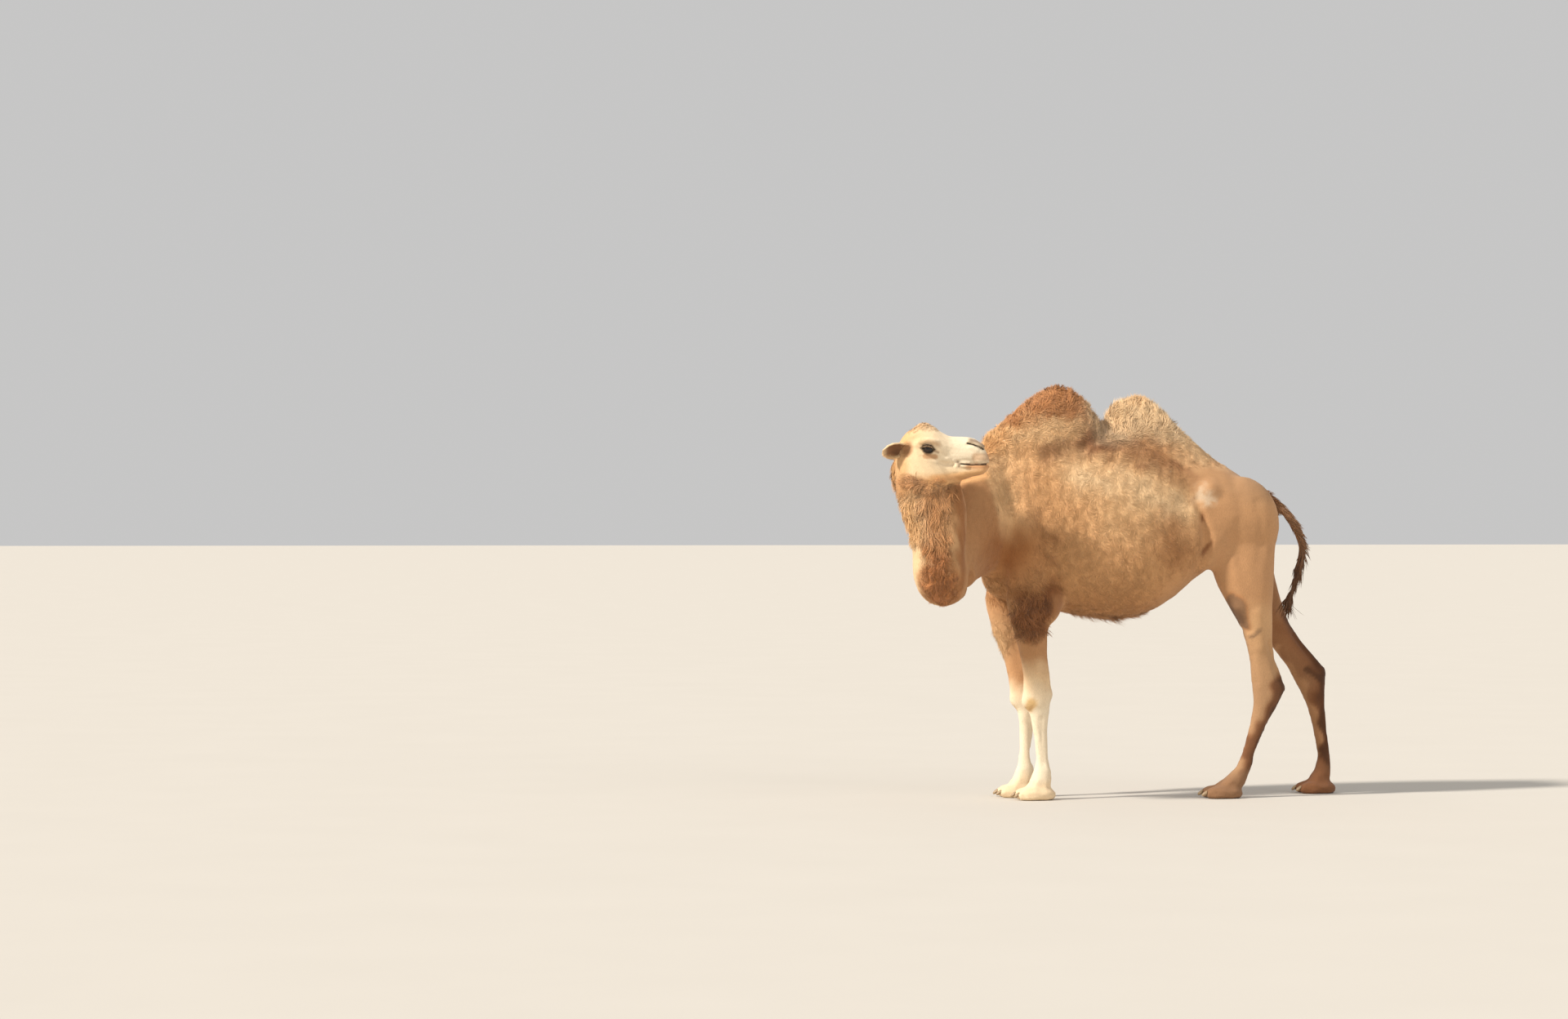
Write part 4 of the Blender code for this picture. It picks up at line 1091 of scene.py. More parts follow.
# %% Paint the ears
EAR_ROOT = np.array((-0.096, 0.062, 0))
paint.lay((CREAM, on_ear, 0.9))
for side in SIDES:
    mirror = (1, side, 1)
    way = unit(np.array((-0.87, 0.46, -0.15)) * mirror)
    cup = np.array((0.3, 0.86, -0.36)) * mirror
    cup = unit(cup - way * (way @ cup))  # square to the ear's length
    from_root = h - EAR_ROOT * mirror
    along = from_root @ way
    this_ear = side * s > 0
    in_cup = on_ear * ramp(-(from_root @ cup), 0, 0.012)
    in_cup = in_cup * ramp(head_axes(EYES + outward) @ cup, 0, 0.4) * this_ear
    by_ear = mark(h, (-0.094, 0.07, -0.004), (0.04, 0.055, 0.055), side, 1.5)
    paint.lay(
        (BROWN, in_cup * ramp(along, 0.13, 0.085), 0.9),
        (DARK_BROWN, in_cup * ramp(along, 0.09, 0.04) * (0.6 + 0.6 * patches), 0.5),
        (APRICOT, on_ear * ramp(along, 0.03, 0.01) * this_ear, 0.6),
        (APRICOT, ear_fringe * this_ear, 0.5),
        (UMBER, by_ear * this_ear * (1 - on_ear), 0.75),
    )
skin_colour = np.clip(paint.colour, 0, 1)
print("head painted")

# %% [markdown]
# ## Sowing tufts
#
# A tuft is a thin tapering lock with three sides. The coat is sown triangle by triangle, so first
# each triangle of the skin learns its area, the solid it lies on, and its place.

# %% Triangles of the skin
skin_tris = triangles_of(skin.data)
tri_corners = points[skin_tris]
tri_centres = tri_corners.mean(axis=1)
edge_a, edge_b = tri_corners[:, 1] - tri_corners[:, 0], tri_corners[:, 2] - tri_corners[:, 0]
tri_area = np.linalg.norm(np.cross(edge_a, edge_b), axis=1) / 2
tri_label = label[skin_tris[:, 0]]
print("skin area", round(tri_area.sum(), 2), "m2 in", len(skin_tris), "triangles")

# %% [markdown]
# Each coat piece gets a flat map for its colours. Its patch of skin is unwrapped
# on its own, and each tuft gets a small disc at its root's place there, so no two tufts mix.

# %% Unwrap a patch of skin
def unwrapped(tris):
    used, index = np.unique(tris, return_inverse=True)
    mesh = bpy.data.meshes.new("unwrap")
    mesh.from_pydata(points[used].tolist(), [], index.reshape(-1, 3).tolist())
    sheet = placed("unwrap", mesh)
    take(sheet)
    bpy.ops.object.mode_set(mode="EDIT")
    bpy.ops.mesh.select_all(action="SELECT")
    bpy.ops.uv.smart_project(angle_limit=math.radians(66), island_margin=0.005)
    bpy.ops.object.mode_set(mode="OBJECT")
    flat = rows(mesh.uv_layers.active.data, "uv", 2).reshape(-1, 3, 2)
    bpy.data.objects.remove(sheet)
    bpy.data.meshes.remove(mesh)
    return flat


print("unwrap ready")

# %% [markdown]
# To place thousands of roots evenly, about twice as many random points as needed are thrown on the
# skin and only one is kept in each small cell of space. Every number a tuft needs is then read
# from the skin under its root.

# %% Sow roots
SPARE = 1.9  # points thrown for each one wanted


def sow(chosen, spacing, seed):
    """Roots spread evenly on the chosen skin triangles, with the skin's numbers at each."""
    rng = np.random.default_rng(seed)
    tris = skin_tris[chosen]
    gap = spacing[tris].mean(axis=1)
    weight = tri_area[chosen] / gap**2
    count = int(weight.sum() * SPARE)
    pick = rng.choice(len(tris), size=count, p=weight / weight.sum())
    r, v = np.sqrt(rng.random(count)), rng.random(count)
    share = np.stack((1 - r, r * (1 - v), r * v), axis=1)
    place = (points[tris[pick]] * share[:, :, None]).sum(axis=1)
    level = np.round(np.log2(gap[pick]) * 4)  # cells come in sizes a fourth of a doubling apart
    cell = np.floor(place / (2 ** (level / 4))[:, None]).astype(int)
    _, keep = np.unique(np.column_stack((cell, level.astype(int))), axis=0, return_index=True)
    keep = np.sort(keep)
    pick, share = pick[keep], share[keep]

    def at(field):
        shares = share if field.ndim == 1 else share[:, :, None]
        return (field[tris[pick]] * shares).sum(axis=1)

    shades = np.stack((root_shade, tip_shade), axis=1)
    fields = {"lie": lie, "length": length, "width": width, "lift": lift, "curl": curl, "shades": shades}
    roots = {key: at(field) for key, field in fields.items()}
    roots |= {"at": place[keep], "out": unit(at(outward)), "colour": at(skin_colour)}
    roots["flat"] = (unwrapped(tris)[pick] * share[:, :, None]).sum(axis=1)
    return roots


print("sowing ready")

# %% [markdown]
# Wool doesn't stand hair by hair: it draws together in curls. Each root finds the nearest of a thinner
# set of lock centres and leans towards it, and all roots of one lock share its curl and tone. That
# is what makes the woolly grain on the flanks.

# %% Gather roots into locks
def gathered(at, lock_size, rng):
    """For each root: the way to its lock's centre, and the lock's own random numbers."""
    cell = np.floor(at / lock_size + rng.random(3)).astype(int)
    _, first = np.unique(cell, axis=0, return_index=True)
    centres = at[first]
    tree = KDTree(len(centres))
    for i, centre in enumerate(centres.tolist()):
        tree.insert(centre, i)
    tree.balance()
    mine = np.array([tree.find(p)[1] for p in at.tolist()])
    chance = rng.random((len(centres), 3))[mine]
    return centres[mine] - at, chance


print("gathering ready")

# %% [markdown]
# A tuft's spine starts under the skin, leaves it at the lift angle, bends over along the lie and turns
# sideways by the curl. Arrays bend all spines of a piece at once, one ring after the other.

# %% Bend the spines
EMBED = 0.35  # how deep a tuft starts, in widths


def turned(ways, outward, degrees):
    a = np.radians(degrees)[:, None]
    return ways * np.cos(a) + np.cross(outward, ways) * np.sin(a)


def spines(roots, habit, rings, droop, wave, gather):
    """The points along each tuft, and the way it points at each of them."""
    out, wide = roots["out"], habit["wide"]
    here = roots["at"] - out * (EMBED * wide)[:, None]
    spine, ways = [], []
    for k in range(rings + 1):
        t = k / rings
        way = turned(roots["lie"], out, habit["yaw"] + habit["spin"] * t)
        side = np.cross(out, way)
        e = np.radians(habit["rise"] * (1 - droop * t))[:, None]
        step = way * np.cos(e) + out * np.sin(e)
        swing = wave * wide * np.sin(habit["phase"] + 5.0 * t) * t
        spine.append(here + gather * t**1.5 + side * swing[:, None])
        ways.append(unit(step))
        here = here + step * (habit["size"] / rings)[:, None]
    return spine, ways


print("spines ready")

# %% [markdown]
# Rings of three points round the spine give each lock two flanks and a ridge. It swells a little
# above the root and closes in a point, and its shade runs from the root's to the tip's.

# %% Flesh out the locks
RING = ((0.5, 0), (0, 0.36), (-0.5, 0))  # left, ridge and right, in widths
NEXT = ((0, 1), (1, 2), (2, 0))  # neighbours in a ring


def lock_points(roots, wide, spine, ways, rings):
    """The points of each tuft, ring by ring and the tip last, and how bright each is."""
    verts, shade = np.empty((len(wide), 3 * rings + 1, 3)), np.empty((len(wide), 3 * rings + 1))
    root, tip = roots["shades"].T
    for k in range(rings):
        t = k / rings
        side = unit(np.cross(roots["out"], ways[k]))
        up = unit(np.cross(ways[k], side))
        thick = (wide * ((0.8 + 0.55 * t) * (1 - 0.62 * t**2)))[:, None]
        for c, (across, high) in enumerate(RING):
            verts[:, 3 * k + c] = spine[k] + (side * across + up * high) * thick
        shade[:, 3 * k : 3 * k + 3] = (root + (tip - root) * t**0.7)[:, None]
    verts[:, -1], shade[:, -1] = spine[rings], tip
    return verts, shade


def lock_faces(rings):
    """The faces of one tuft: quads round its flanks, a cap at the root, triangles to the tip."""
    faces = []
    for k in range(0, 3 * (rings - 1), 3):
        faces += [(k + c, k + d, k + 3 + d, k + 3 + c) for c, d in NEXT]
    last = 3 * (rings - 1)
    return faces + [(0, 2, 1)] + [(last + c, last + d, last + 3) for c, d in NEXT]


def mesh_of(title, verts, loops, starts_at):
    mesh = bpy.data.meshes.new(title)
    mesh.vertices.add(len(verts))
    mesh.vertices.foreach_set("co", verts.reshape(-1))
    mesh.loops.add(len(loops))
    mesh.loops.foreach_set("vertex_index", loops)
    mesh.polygons.add(len(starts_at))
    mesh.polygons.foreach_set("loop_start", starts_at)
    mesh.update(calc_edges=True)
    mesh.polygons.foreach_set("use_smooth", np.ones(len(starts_at), dtype=bool))
    return placed(title, mesh)


print("lock shapes ready")

# %% [markdown]
# Each point carries its colour, and two layers of its own: where it is along and across its lock,
# which the wool's streaks follow, and its spot on the flat map. A lock that lies on the skin is lit
# like the skin under it, and one that stands is lit by its own flanks.

# %% Colour and light the locks
PATCH = 0.003  # size of each tuft's disc on the flat map
SOFTNESS = ((8, 34), (0.75, 0.4))  # from degrees of lift to how far a tuft is lit as the skin is


def add_colour(mesh, colour):
    layer = mesh.color_attributes.new(name="coat", type="FLOAT_COLOR", domain="POINT")
    rgba = np.column_stack((np.clip(colour, 0, 1), np.ones(len(colour))))
    layer.data.foreach_set("color", rgba.reshape(-1))


def light(mesh, roots, lit):
    """Turns the normals of each tuft towards the skin's."""
    out = roots["out"][:, None, :]
    own = normals_of(mesh).reshape(len(out), -1, 3)
    outward_part = ramp((own * out).sum(axis=2), -0.6, 0.3)
    share = np.minimum(lit * np.interp(roots["lift"], *SOFTNESS), 0.9)[:, None]
    share = (share * outward_part)[:, :, None]
    soft = unit(own * (1 - share) + out * share)
    mesh.normals_split_custom_set_from_vertices(soft.reshape(-1, 3))


def add_strands(mesh, habit, rings, chance):
    """For each point: how far across and along its lock it is, in metres, and the lock's chance."""
    index = np.arange(3 * rings + 1)
    across = habit["wide"][:, None] * (index % 3 / 2)
    along = habit["size"][:, None] * (index // 3 / rings)
    strand = np.stack(np.broadcast_arrays(across, along, chance[:, None]), axis=2)
    layer = mesh.attributes.new(name="strand", type="FLOAT_VECTOR", domain="POINT")
    layer.data.foreach_set("vector", strand.reshape(-1))


def add_flat_map(mesh, flat, rings, pattern):
    """A disc for each tuft: the root's ring is its edge, the tip and the cap are at its centre."""
    index = np.arange(3 * rings + 1)
    angle = 2 * math.pi * (index % 3) / 3
    radius = (1 - index // 3 / rings) * PATCH / 2
    disc = np.stack((np.cos(angle) * radius, np.sin(angle) * radius), axis=1)[pattern]
    cap = 12 * (rings - 1)
    disc[cap : cap + 3] = 0
    layer = mesh.uv_layers.new(name="OFBake")
    layer.data.foreach_set("uv", (flat[:, None, :] + disc[None]).reshape(-1))


add_colour(skin.data, skin_colour * 0.92)
print("colour and light ready")

# %% [markdown]
# `grow` puts these steps together. Chance gives each tuft a length, a width and a turn of its own,
# while slow waves over the skin make neighbours alike, as they are in real wool.

# %% Grow tufts
def grow(title, roots, rings, droop=1.3, wave=0, pull=0, lock=0.026, tone=0.08, gaps=0,
         scruff=0.22, lit=1, seed=1):
    """A joined mesh of one tuft per root.

    droop is how much of the lift is lost by the tip, wave is a sideways swing in widths, pull is how
    far the tip leans to its lock's centre, lock is a lock's size, tone how much locks differ, gaps
    how much painted shade darkens the outside of a lock where locks part, scruff how much lengths
    differ, and lit how far tufts are lit as the skin under them is.
    """
    rng = np.random.default_rng(seed)
    at, out, n = roots["at"], roots["out"], len(roots["at"])
    to_lock, chance = gathered(at, lock, rng)

    def drift(waves, wave_seed, share, spread, start=0):
        """A number per tuft: a wave some locks long, and a little of each tuft's own chance."""
        return start + share * ripple(at, waves * lock, wave_seed) + spread * rng.normal(size=n)

    lengths = roots["length"] * (1 + scruff * rng.normal(size=n)).clip(0.55, 1.5)
    habit = {
        "size": lengths * (0.85 + 0.3 * chance[:, 0]),
        "wide": roots["width"] * np.clip(1 + 0.18 * rng.normal(size=n), 0.6, 1.4),
        "yaw": roots["curl"] * drift(2.6, 61, 1, 0.18),
        "spin": roots["curl"] * drift(2.0, 62, 0.8, 0.18),
        "rise": roots["lift"] * drift(1.6, 63, 0.35, 0.15, 1),
        "phase": drift(4.0, 64, 6.0, 0.35),
    }
    gather = pull * (to_lock - (to_lock * out).sum(axis=1, keepdims=True) * out)
    spine, ways = spines(roots, habit, rings, droop, wave, gather)
    verts, shade = lock_points(roots, habit["wide"], spine, ways, rings)
    faces = lock_faces(rings)
    pattern = np.array([i for face in faces for i in face])
    loops = np.arange(n)[:, None] * (3 * rings + 1) + pattern
    sizes = np.tile([len(face) for face in faces], n)
    starts_at = np.concatenate(([0], np.cumsum(sizes)[:-1]))
    tufts = mesh_of(title, verts.reshape(-1, 3), loops.reshape(-1), starts_at)
    light(tufts.data, roots, lit)
    tint = 1 + tone * (chance[:, 1] - 0.5) * 2 + 0.05 * rng.normal(size=n)
    # painted shade: tufts at the outside of a lock are darker, where locks part
    tint *= 1 + gaps * (0.35 - np.linalg.norm(to_lock, axis=1) / lock)
    colour = roots["colour"][:, None, :] * (shade * tint[:, None])[:, :, None]
    add_colour(tufts.data, colour.reshape(-1, 3))
    add_strands(tufts.data, habit, rings, rng.random(n))
    add_flat_map(tufts.data, roots["flat"], rings, pattern)
    print(f"{title}: {n} tufts, {(sizes - 2).sum()} triangles")
    return tufts


print("tuft builder ready")

# %% [markdown]
# ## Materials
#
# A small class lets shader sums be written as ordinary sums. It wraps a socket, and every sum makes
# the Math node for it. Any other node comes from `node`, which takes its settings first.

# %% Shader helpers
class Value:
    """A socket of a material, used in ordinary sums."""

    def __init__(self, finish, socket):
        self.finish, self.socket = finish, socket

    def sum(self, kind, a, b):
        made = self.finish.node("ShaderNodeMath", {"operation": kind}, {0: a, 1: b})
        return Value(self.finish, made.outputs[0])

    def __add__(self, other):
        return self.sum("ADD", self, other)

    def __mul__(self, other):
        return self.sum("MULTIPLY", self, other)

    def __sub__(self, other):
        return self.sum("SUBTRACT", self, other)

    __radd__, __rmul__ = __add__, __mul__

    def clamped(self):
        return Value(self.finish, self.finish.node("ShaderNodeClamp", {}, {0: self}).outputs[0])


class Finish:

    def __init__(self, title, roughness, **sockets):
        self.material = bpy.data.materials.new(title)
        self.material.use_nodes = True
        self.tree = self.material.node_tree
        self.shader = self.tree.nodes["Principled BSDF"]
        self.set(Roughness=roughness, **sockets)
        self.where = self.node("ShaderNodeTexCoord", {}, {}).outputs["Object"]

    def put(self, made, inputs):
        """Links or sets some inputs of a node."""
        for key, value in inputs.items():
            socket = made.inputs[key]
            if isinstance(value, Value):
                value = value.socket
            if isinstance(value, bpy.types.NodeSocket):
                self.tree.links.new(value, socket)
            else:
                socket.default_value = value

    def set(self, **inputs):
        """Sets inputs of the shader itself, with _ for each space in their names."""
        self.put(self.shader, {key.replace("_", " "): value for key, value in inputs.items()})

    def node(self, kind, settings, inputs):
        made = self.tree.nodes.new(kind)
        for key, value in settings.items():
            setattr(made, key, value)
        self.put(made, inputs)
        return made

    def attribute(self, name, output):
        return self.node("ShaderNodeAttribute", {"attribute_name": name}, {}).outputs[output]

    def noise(self, scale, detail=2.0, place=None):
        inputs = {"Vector": place or self.where, "Scale": scale, "Detail": detail}
        return Value(self, self.node("ShaderNodeTexNoise", {}, inputs).outputs["Fac"])

    def vector(self, kind, inputs):
        return self.node("ShaderNodeVectorMath", {"operation": kind}, inputs).outputs[0]

    def mixed(self, mask, a, b):
        """Between two colours: given as the eye sees them, or as the output of a node."""
        a, b = [(*linear(c).tolist(), 1) if isinstance(c, tuple) else c for c in (a, b)]
        return self.node("ShaderNodeMix", {"data_type": "RGBA"}, {0: mask, 6: a, 7: b}).outputs[2]

    def bump(self, height, distance):
        inputs = {"Height": height, "Distance": distance, "Strength": 1.0}
        self.set(Normal=self.node("ShaderNodeBump", {}, inputs).outputs[0])


print("shader helpers ready")

# %% [markdown]
# Wool and skin take their colour from the painted attribute and only add grain: a soft
# unevenness, fine flecks, and a bump that looks like short hair. The flecks are noise drawn out
# down the body on the skin, and along each lock on the wool. A little sheen softens the edges.

# %% Coat finishes
def coat_finish(title, on_locks, stretch, bump_depth, roughness, sheen):
    finish = Finish(title, roughness)
    finish.set(Sheen_Weight=sheen, Sheen_Roughness=0.5, Specular_IOR_Level=0.2)
    painted = finish.attribute("coat", "Color")
    uneven = finish.noise(6.0, 3.0)
    along = finish.attribute("strand", "Vector") if on_locks else finish.where
    streaks = finish.noise(1, 2.0, finish.vector("MULTIPLY", {0: along, 1: stretch}))
    brightness = 0.66 + 0.24 * uneven + 0.44 * streaks
    finish.set(Base_Color=finish.vector("SCALE", {0: painted, "Scale": brightness}))
    finish.set(Roughness=roughness - 0.06 + 0.12 * streaks)
    finish.bump(streaks, bump_depth)
    return finish.material


SKIN_FINISH = coat_finish("short_hair_on_skin", False, (420.0, 420.0, 110.0), 0.0016, 0.82, 0.1)
WOOL_FINISH = coat_finish("wool", True, (1400.0, 90.0, 60.0), 0.0006, 0.86, 0.15)
print("coat finishes ready")

# %% [markdown]
# ## Sow the whole coat
#
# The coat is grown in pieces, so that each stays light and has its own flat map. Tufts stand closest
# on the face and ears. None grow on the soles, over the eyes, in the nostrils or between the lips.

# %% Where tufts stand, and how close
SOLE = 0.03  # the feet have no hair below this height
spacing = np.interp(length, (0.008, 0.012, 0.02, 0.034, 0.075), (0.0054, 0.0052, 0.0042, 0.0044, 0.0048))
for mask, gap in ((on_head, 0.0034), (on_ear, 0.0034), (on_tail, 0.005)):
    spacing = toward(spacing, gap, mask)
bare = body_axes(tri_centres)[:, 2] <= SOLE
for side in SIDES:
    opening, _, _, out_of_eye = eye_opening(tri_centres, side)
    by_eye = np.linalg.norm(tri_centres - EYE_CENTRES[side], axis=1) < 0.045
    bare |= by_eye & (opening > -0.0045) & (out_of_eye > 0)
    bare |= mark(h, NOSTRIL, 0.009, side)[skin_tris].max(axis=1) >= 0.4
mouth = ease(1.4 - off_line / 0.006) * ramp(f, 0.143, 0.15) * at_mouth
bare |= mouth[skin_tris].max(axis=1) >= 0.5
print("bare triangles:", bare.sum())

# %% [markdown]
# Most patches of skin follow the solids. Some follow the hair instead: the triangles whose corners,
# on average, are deep enough in a mask, such as that of the throat.

# %% Patches of skin
def over(field, least):
    """The triangles where a number per point is, on average, over the least."""
    return field[skin_tris].mean(axis=1) > least


def on(*stems):
    return belongs(tri_label, stems)


throat = over(np.maximum(throat_band(b) * on_neck, jaw_wool), 0.45)
nape = over(np.maximum(nape_band(b) * on_neck, mane_top), 0.4)
crown, elbow, woolly = over(topknot, 0.12), over(elbow_wool, 0.25), over(length, 0.015)
face, neck, trunk, foreleg = on("head", "lower_jaw", "eye"), on("neck"), on("trunk"), on("foreleg")
tri_body = body_axes(tri_centres)
in_front, behind = tri_body[:, 0] < -0.3, tri_body[:, 0] > 0.1
print("patches ready")

# %% [markdown]
# Each piece names its patch, the material slot it is for, how many rings its tufts have, and what
# sets them apart. `apart` spreads the tufts and `reach` lengthens them. The dreadlocks of the throat
# and the forelegs share one habit: they swing from side to side and draw close together.

# %% Grow the coat
DREADLOCKS = {"wave": 2.8, "pull": 1.1, "gaps": 0.6}
FIRST_SEED = 11
coats = []


def coat(title, chosen, slot, rings, apart=1, reach=1, **more):
    seed = FIRST_SEED + len(coats)
    roots = sow(np.flatnonzero(chosen & ~bare), spacing * apart, seed)
    roots["length"] = roots["length"] * reach
    tufts = grow(title, roots, rings, seed=seed, **more)
    tufts.data.materials.append(WOOL_FINISH)
    coats.append(tufts)


coat("face_hair", face & ~crown & ~nape & ~throat, "pale_hair", 1, tone=0.03)
coat("topknot", face & crown, "body_wool", 2, lock=0.016, pull=0.4, tone=0.04, lit=1.25)
coat("ear_hair", on("ear"), "pale_hair", 1, tone=0.05, lit=0.6)
coat(
    "throat_locks", (neck | face) & throat & ~nape, "body_wool", 4,
    apart=1.05, lock=0.03, droop=1.2, tone=0.14, **DREADLOCKS,
)
coat(
    "nape_mane", (neck & ~throat | face) & nape, "rust_wool", 4,
    wave=1.8, pull=0.5, gaps=0.3, droop=1.5, lit=1.3,
)
coat("neck_hair", neck & ~throat & ~nape, "body_wool", 1, tone=0.05)
for side_name, this_side in (("left", tri_body[:, 1] < 0), ("right", tri_body[:, 1] >= 0)):
    wool = trunk & woolly & this_side
    coat("shoulder_wool_" + side_name, wool & in_front, "body_wool", 1)
    coat("flank_wool_" + side_name, wool & ~in_front & ~behind, "body_wool", 1)
    coat("rump_wool_" + side_name, wool & behind, "body_wool", 1)
    coat("flank_curls_" + side_name, wool, "body_wool", 2, apart=2.8, reach=1.35, pull=0.5, gaps=0.25)
    coat("trunk_hair_" + side_name, trunk & ~woolly & this_side, "body_wool", 1, apart=1.04, tone=0.05)
coat("front_hump_wool", on("hump_front"), "rust_wool", 2, apart=1.05, gaps=0.3)
coat("rear_hump_wool", on("hump_rear"), "body_wool", 2, apart=1.06, droop=0.8, gaps=0.2)
coat("foreleg_wool", foreleg & elbow, "leg_hair", 3, apart=1.15, lock=0.036, tone=0.16, **DREADLOCKS)
coat("foreleg_hair", foreleg & ~elbow, "leg_hair", 1, apart=1.08, tone=0.04)
coat("hind_leg_hair", on("hind_leg"), "leg_hair", 1, apart=1.14, tone=0.04)
coat("tail_hair", on("tail"), "tail_hair", 4, wave=1.2, droop=0.9, pull=0.5, lit=0.4)
print("coat pieces:", len(coats))

# %% [markdown]
# ## Eyes, lashes and nails
#
# The balls are nearly as large as the solids' and much finer. The iris is a dark brown ring painted from the
# distance to the ball's front, the pupil a wide bar as camels have, and a clear coat gives the wet
# shine. The export needs a plain mesh, so each ball is one sphere, not a glass shell.

# %% Eyes
IRIS = 0.0145  # radius of the iris
BALL = EYE_RADIUS - 0.0004  # radius of the ball, a hair under its solid's
wet = Finish("wet_eye", 0.12)
wet.set(Coat_Weight=0.7, Coat_Roughness=0.03, Specular_IOR_Level=0.15)
ring = wet.attribute("ring", "Fac")
iris = wet.mixed((wet.noise(260.0, 4.0) * 1.6 - 0.4).clamped(), (0.1, 0.055, 0.035), (0.24, 0.135, 0.075))
wet.set(Base_Color=wet.mixed(ring, iris, (0.02, 0.015, 0.014)))
eyes = []
for side, name in ((1, "eye_left"), (-1, "eye_right")):
    centre = EYE_CENTRES[side].tolist()
    deselect()
    bpy.ops.mesh.primitive_uv_sphere_add(segments=64, ring_count=40, radius=BALL, location=centre)
    ball = bpy.context.view_layer.objects.active
    bpy.ops.object.transform_apply(location=True, rotation=True, scale=True)
    ball.name = name + "_ball"
    _, f, u, out = eye_opening(corners(ball.data), side)
    out_of_iris = ramp(np.hypot(f, u), IRIS - 0.001, IRIS + 0.002)
    pupil = ramp(np.hypot(f / 1.9, u), 0.0048, 0.0036)
    layer = ball.data.attributes.new(name="ring", type="FLOAT", domain="POINT")
    layer.data.foreach_set("value", np.where(out > 0, np.maximum(out_of_iris, pupil), 1))
    bpy.ops.object.shade_smooth()
    ball.data.materials.append(wet.material)
    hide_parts(name)
    eyes.append(ball)
print("eyes made:", len(eyes))

# %% [markdown]
# Camels have two rows of long lashes on a heavy upper lid. They are tufts too, rooted along the lid's
# edge, pointing out and a little down. Every second one is longer and darker.

# %% Lashes
LASHES = 46  # on each eye
LASH_RISE = 0.0015  # how far over the lid's edge they are rooted
lash_rows = []
for side in (1, -1):
    centre = EYE_CENTRES[side]
    for i in range(LASHES):
        t = (i + 0.5) / LASHES
        f = OPEN_HALF * (1 - 2 * t)
        arch = OPEN_UP * max(1 - (f / OPEN_HALF) ** 2, 0) ** ROUNDNESS
        u = arch - TILT * f + LASH_RISE + 0.001 * (i % 2)
        out = math.sqrt(max((EYE_RADIUS + LID - 0.0006) ** 2 - f**2 - u**2, 0))
        at = centre + f * HEAD_FORWARD + u * UP + out * side * HEAD_LEFT
        way = unit(side * HEAD_LEFT * 0.5 - UP * 0.55 + HEAD_FORWARD * (f / OPEN_HALF * 0.5 - 0.15))
        # the pale lashes are partly painted highlight, where light catches the upper lashes
        size, colour = (0.02, DARK_BROWN) if i % 2 else (0.015, SAND)
        flat = (0.25 + 0.5 * (side > 0) * 0.5 + 0.2 * t, 0.1 + 0.02 * i)
        lash_rows.append((at, unit(at - centre), way, size, linear(colour), flat))
columns = zip(("at", "out", "lie", "length", "colour", "flat"), zip(*lash_rows))
lash_roots = {key: np.array(column) for key, column in columns}
lash_roots["lie"] = flat_on_skin(lash_roots["lie"], lash_roots["out"])
for key, same in (("width", 0.0011), ("lift", 38.0), ("curl", 8.0), ("shades", (0.8, 1.1))):
    lash_roots[key] = np.array([same] * len(lash_rows))
lashes = grow("lashes", lash_roots, 4, droop=1.2, seed=31, scruff=0.12, tone=0.05, lit=0.2)
lashes.data.materials.append(WOOL_FINISH)
coats.append(lashes)

# %% [markdown]
# Each foot ends in two blunt nails. Their solids are already the right shape, so copies are rounded
# with a **Subdivision Surface** and given a horny finish with growth rings.

# %% Nails
NAILS = [n for n in NODE_NAMES if "nail" in n]
nails = copy_of_solids(NAILS, "toenails")
add_applied(nails, "SUBSURF", levels=1, render_levels=1)
take(nails)
bpy.ops.object.shade_smooth()
horn = Finish("horn", 0.45)
waves = {"Vector": horn.where, "Scale": 90.0, "Distortion": 2.0}
growth = Value(horn, horn.node("ShaderNodeTexWave", {"bands_direction": "X"}, waves).outputs["Fac"])
horn.set(Base_Color=horn.mixed(growth, (0.6, 0.5, 0.37), (0.64, 0.54, 0.41)))
horn.bump(0.3 * growth + 0.5 * horn.noise(200.0), 0.0002)
nails.data.materials.append(horn.material)
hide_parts(*NAILS)
print("nails made:", len(NAILS))

# %% [markdown]
# ## Put it together
#
# Every piece rides on the one body of a still model. The skin stands for all the flesh solids.

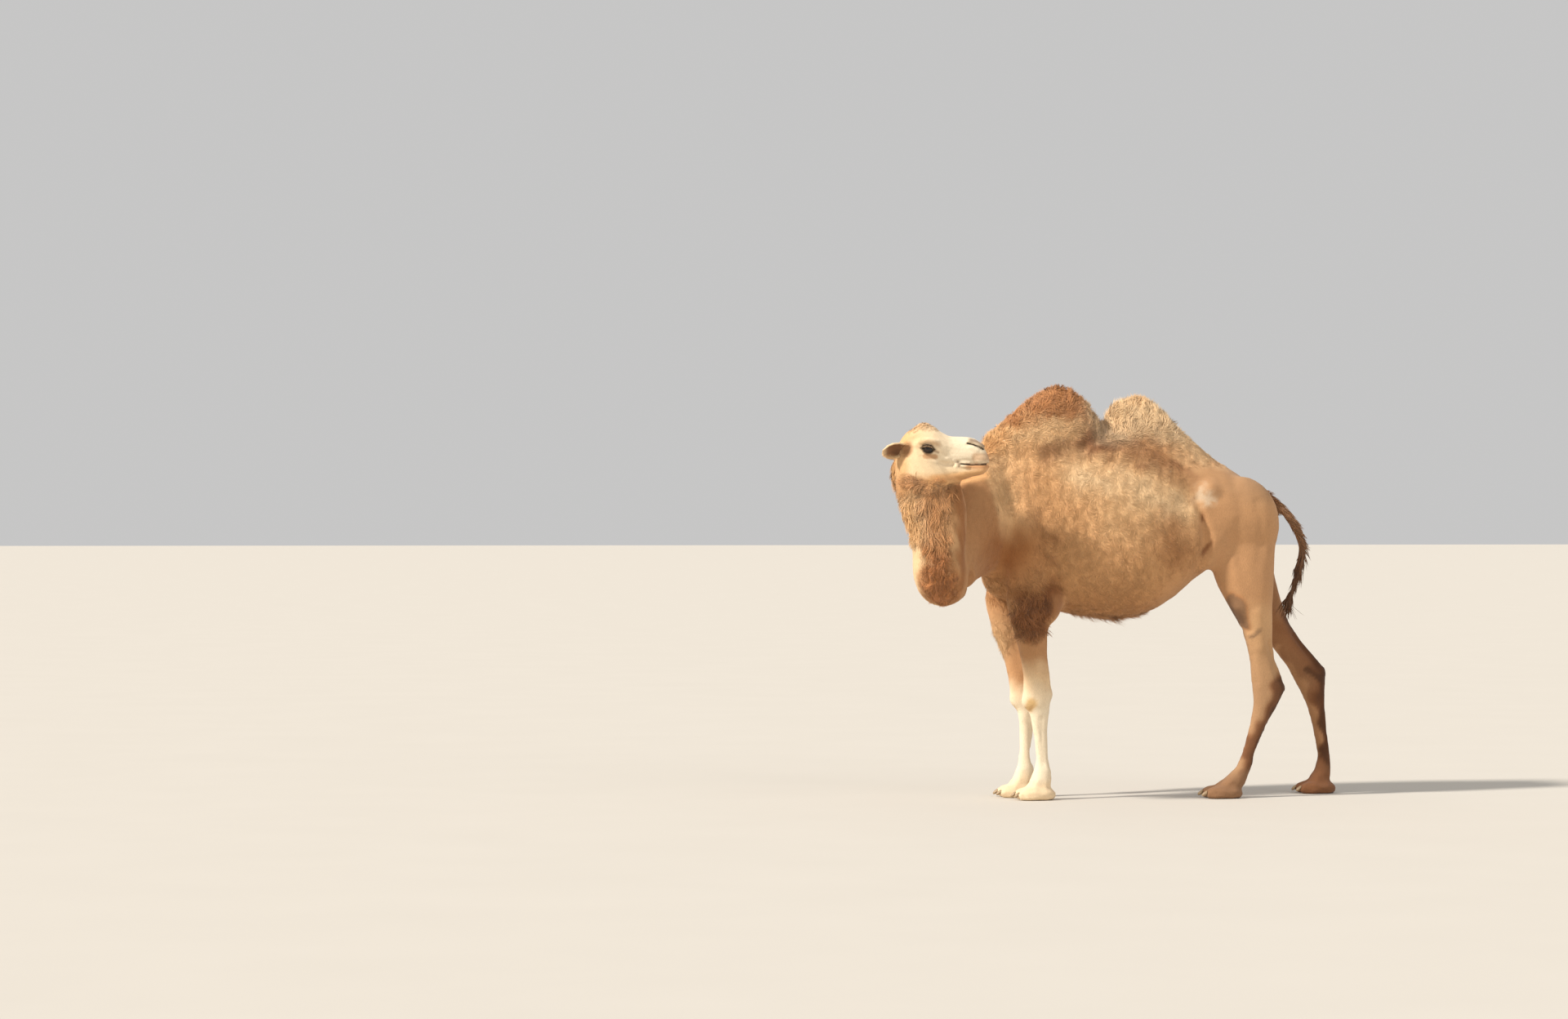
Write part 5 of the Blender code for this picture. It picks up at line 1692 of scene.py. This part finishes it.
# %% Ride and replace
skin.data.materials.clear()
skin.data.materials.append(SKIN_FINISH)
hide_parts(*[n for n in FLESH + EARS if not n.startswith("eye")])
pieces = [skin, nails, *eyes, *coats]
for piece in pieces:
    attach(piece, "root")
print("pieces:", len(pieces))

# %% [markdown]
# ## Floor, light and camera
#
# The studio is plain: a wide pale floor, a pale sky, one large soft light from the upper left and a
# weaker one from the right, so that the humps and folds keep their shadows.

# %% Stage
LIGHTS = {  # turn in degrees, power, width in degrees, colour
    "key": ((52, 0, -72), 4.3, 6.0, (1, 0.95, 0.88)),
    "fill": ((60, 0, 35), 0.4, 40.0, (1, 0.97, 0.93)),
}
deselect()
bpy.ops.mesh.primitive_plane_add(size=400, location=(0, 0, -0.001))
floor = bpy.context.view_layer.objects.active
floor.name = "floor"
pale = Finish("pale_floor", 0.9)
pale.set(Base_Color=pale.mixed(pale.noise(1.5), (0.79, 0.765, 0.725), (0.805, 0.78, 0.74)))
floor.data.materials.append(pale.material)
world = bpy.data.worlds.new("studio")
bpy.context.scene.world = world
world.use_nodes = True
sky = world.node_tree.nodes["Background"].inputs
sky["Color"].default_value = (0.98, 0.975, 0.97, 1)
sky["Strength"].default_value = 0.58
for name, (turn, power, softness, tint) in LIGHTS.items():
    sun = bpy.data.lights.new(name, "SUN")
    sun.angle, sun.energy, sun.color = math.radians(softness), power, tint
    placed(name, sun).rotation_euler = [math.radians(a) for a in turn]
bpy.context.scene.view_settings.view_transform = "Standard"
print("stage lit")

# %% [markdown]
# The camera stands eighteen metres off with a long lens, level, at the height of a standing person's
# chest. So far off, the near and the far legs look nearly the same size.

# %% Camera
CAMERA_PLACE = WITHERS_FLOOR + np.array((-4.421, -17.686, 1.346))
CAMERA_HEADING = 9.0  # degrees to the right of straight across
camera_data = bpy.data.cameras.new("camera")
camera_data.lens, camera_data.sensor_width = 85.1, 36.0  # millimetres
camera_data.shift_y = 0.0083
camera = placed("camera", camera_data)
camera.location = CAMERA_PLACE.tolist()
camera.rotation_euler = (math.pi / 2, 0, -math.radians(CAMERA_HEADING))
bpy.context.scene.camera = camera
print("camera at", CAMERA_PLACE.round(2))
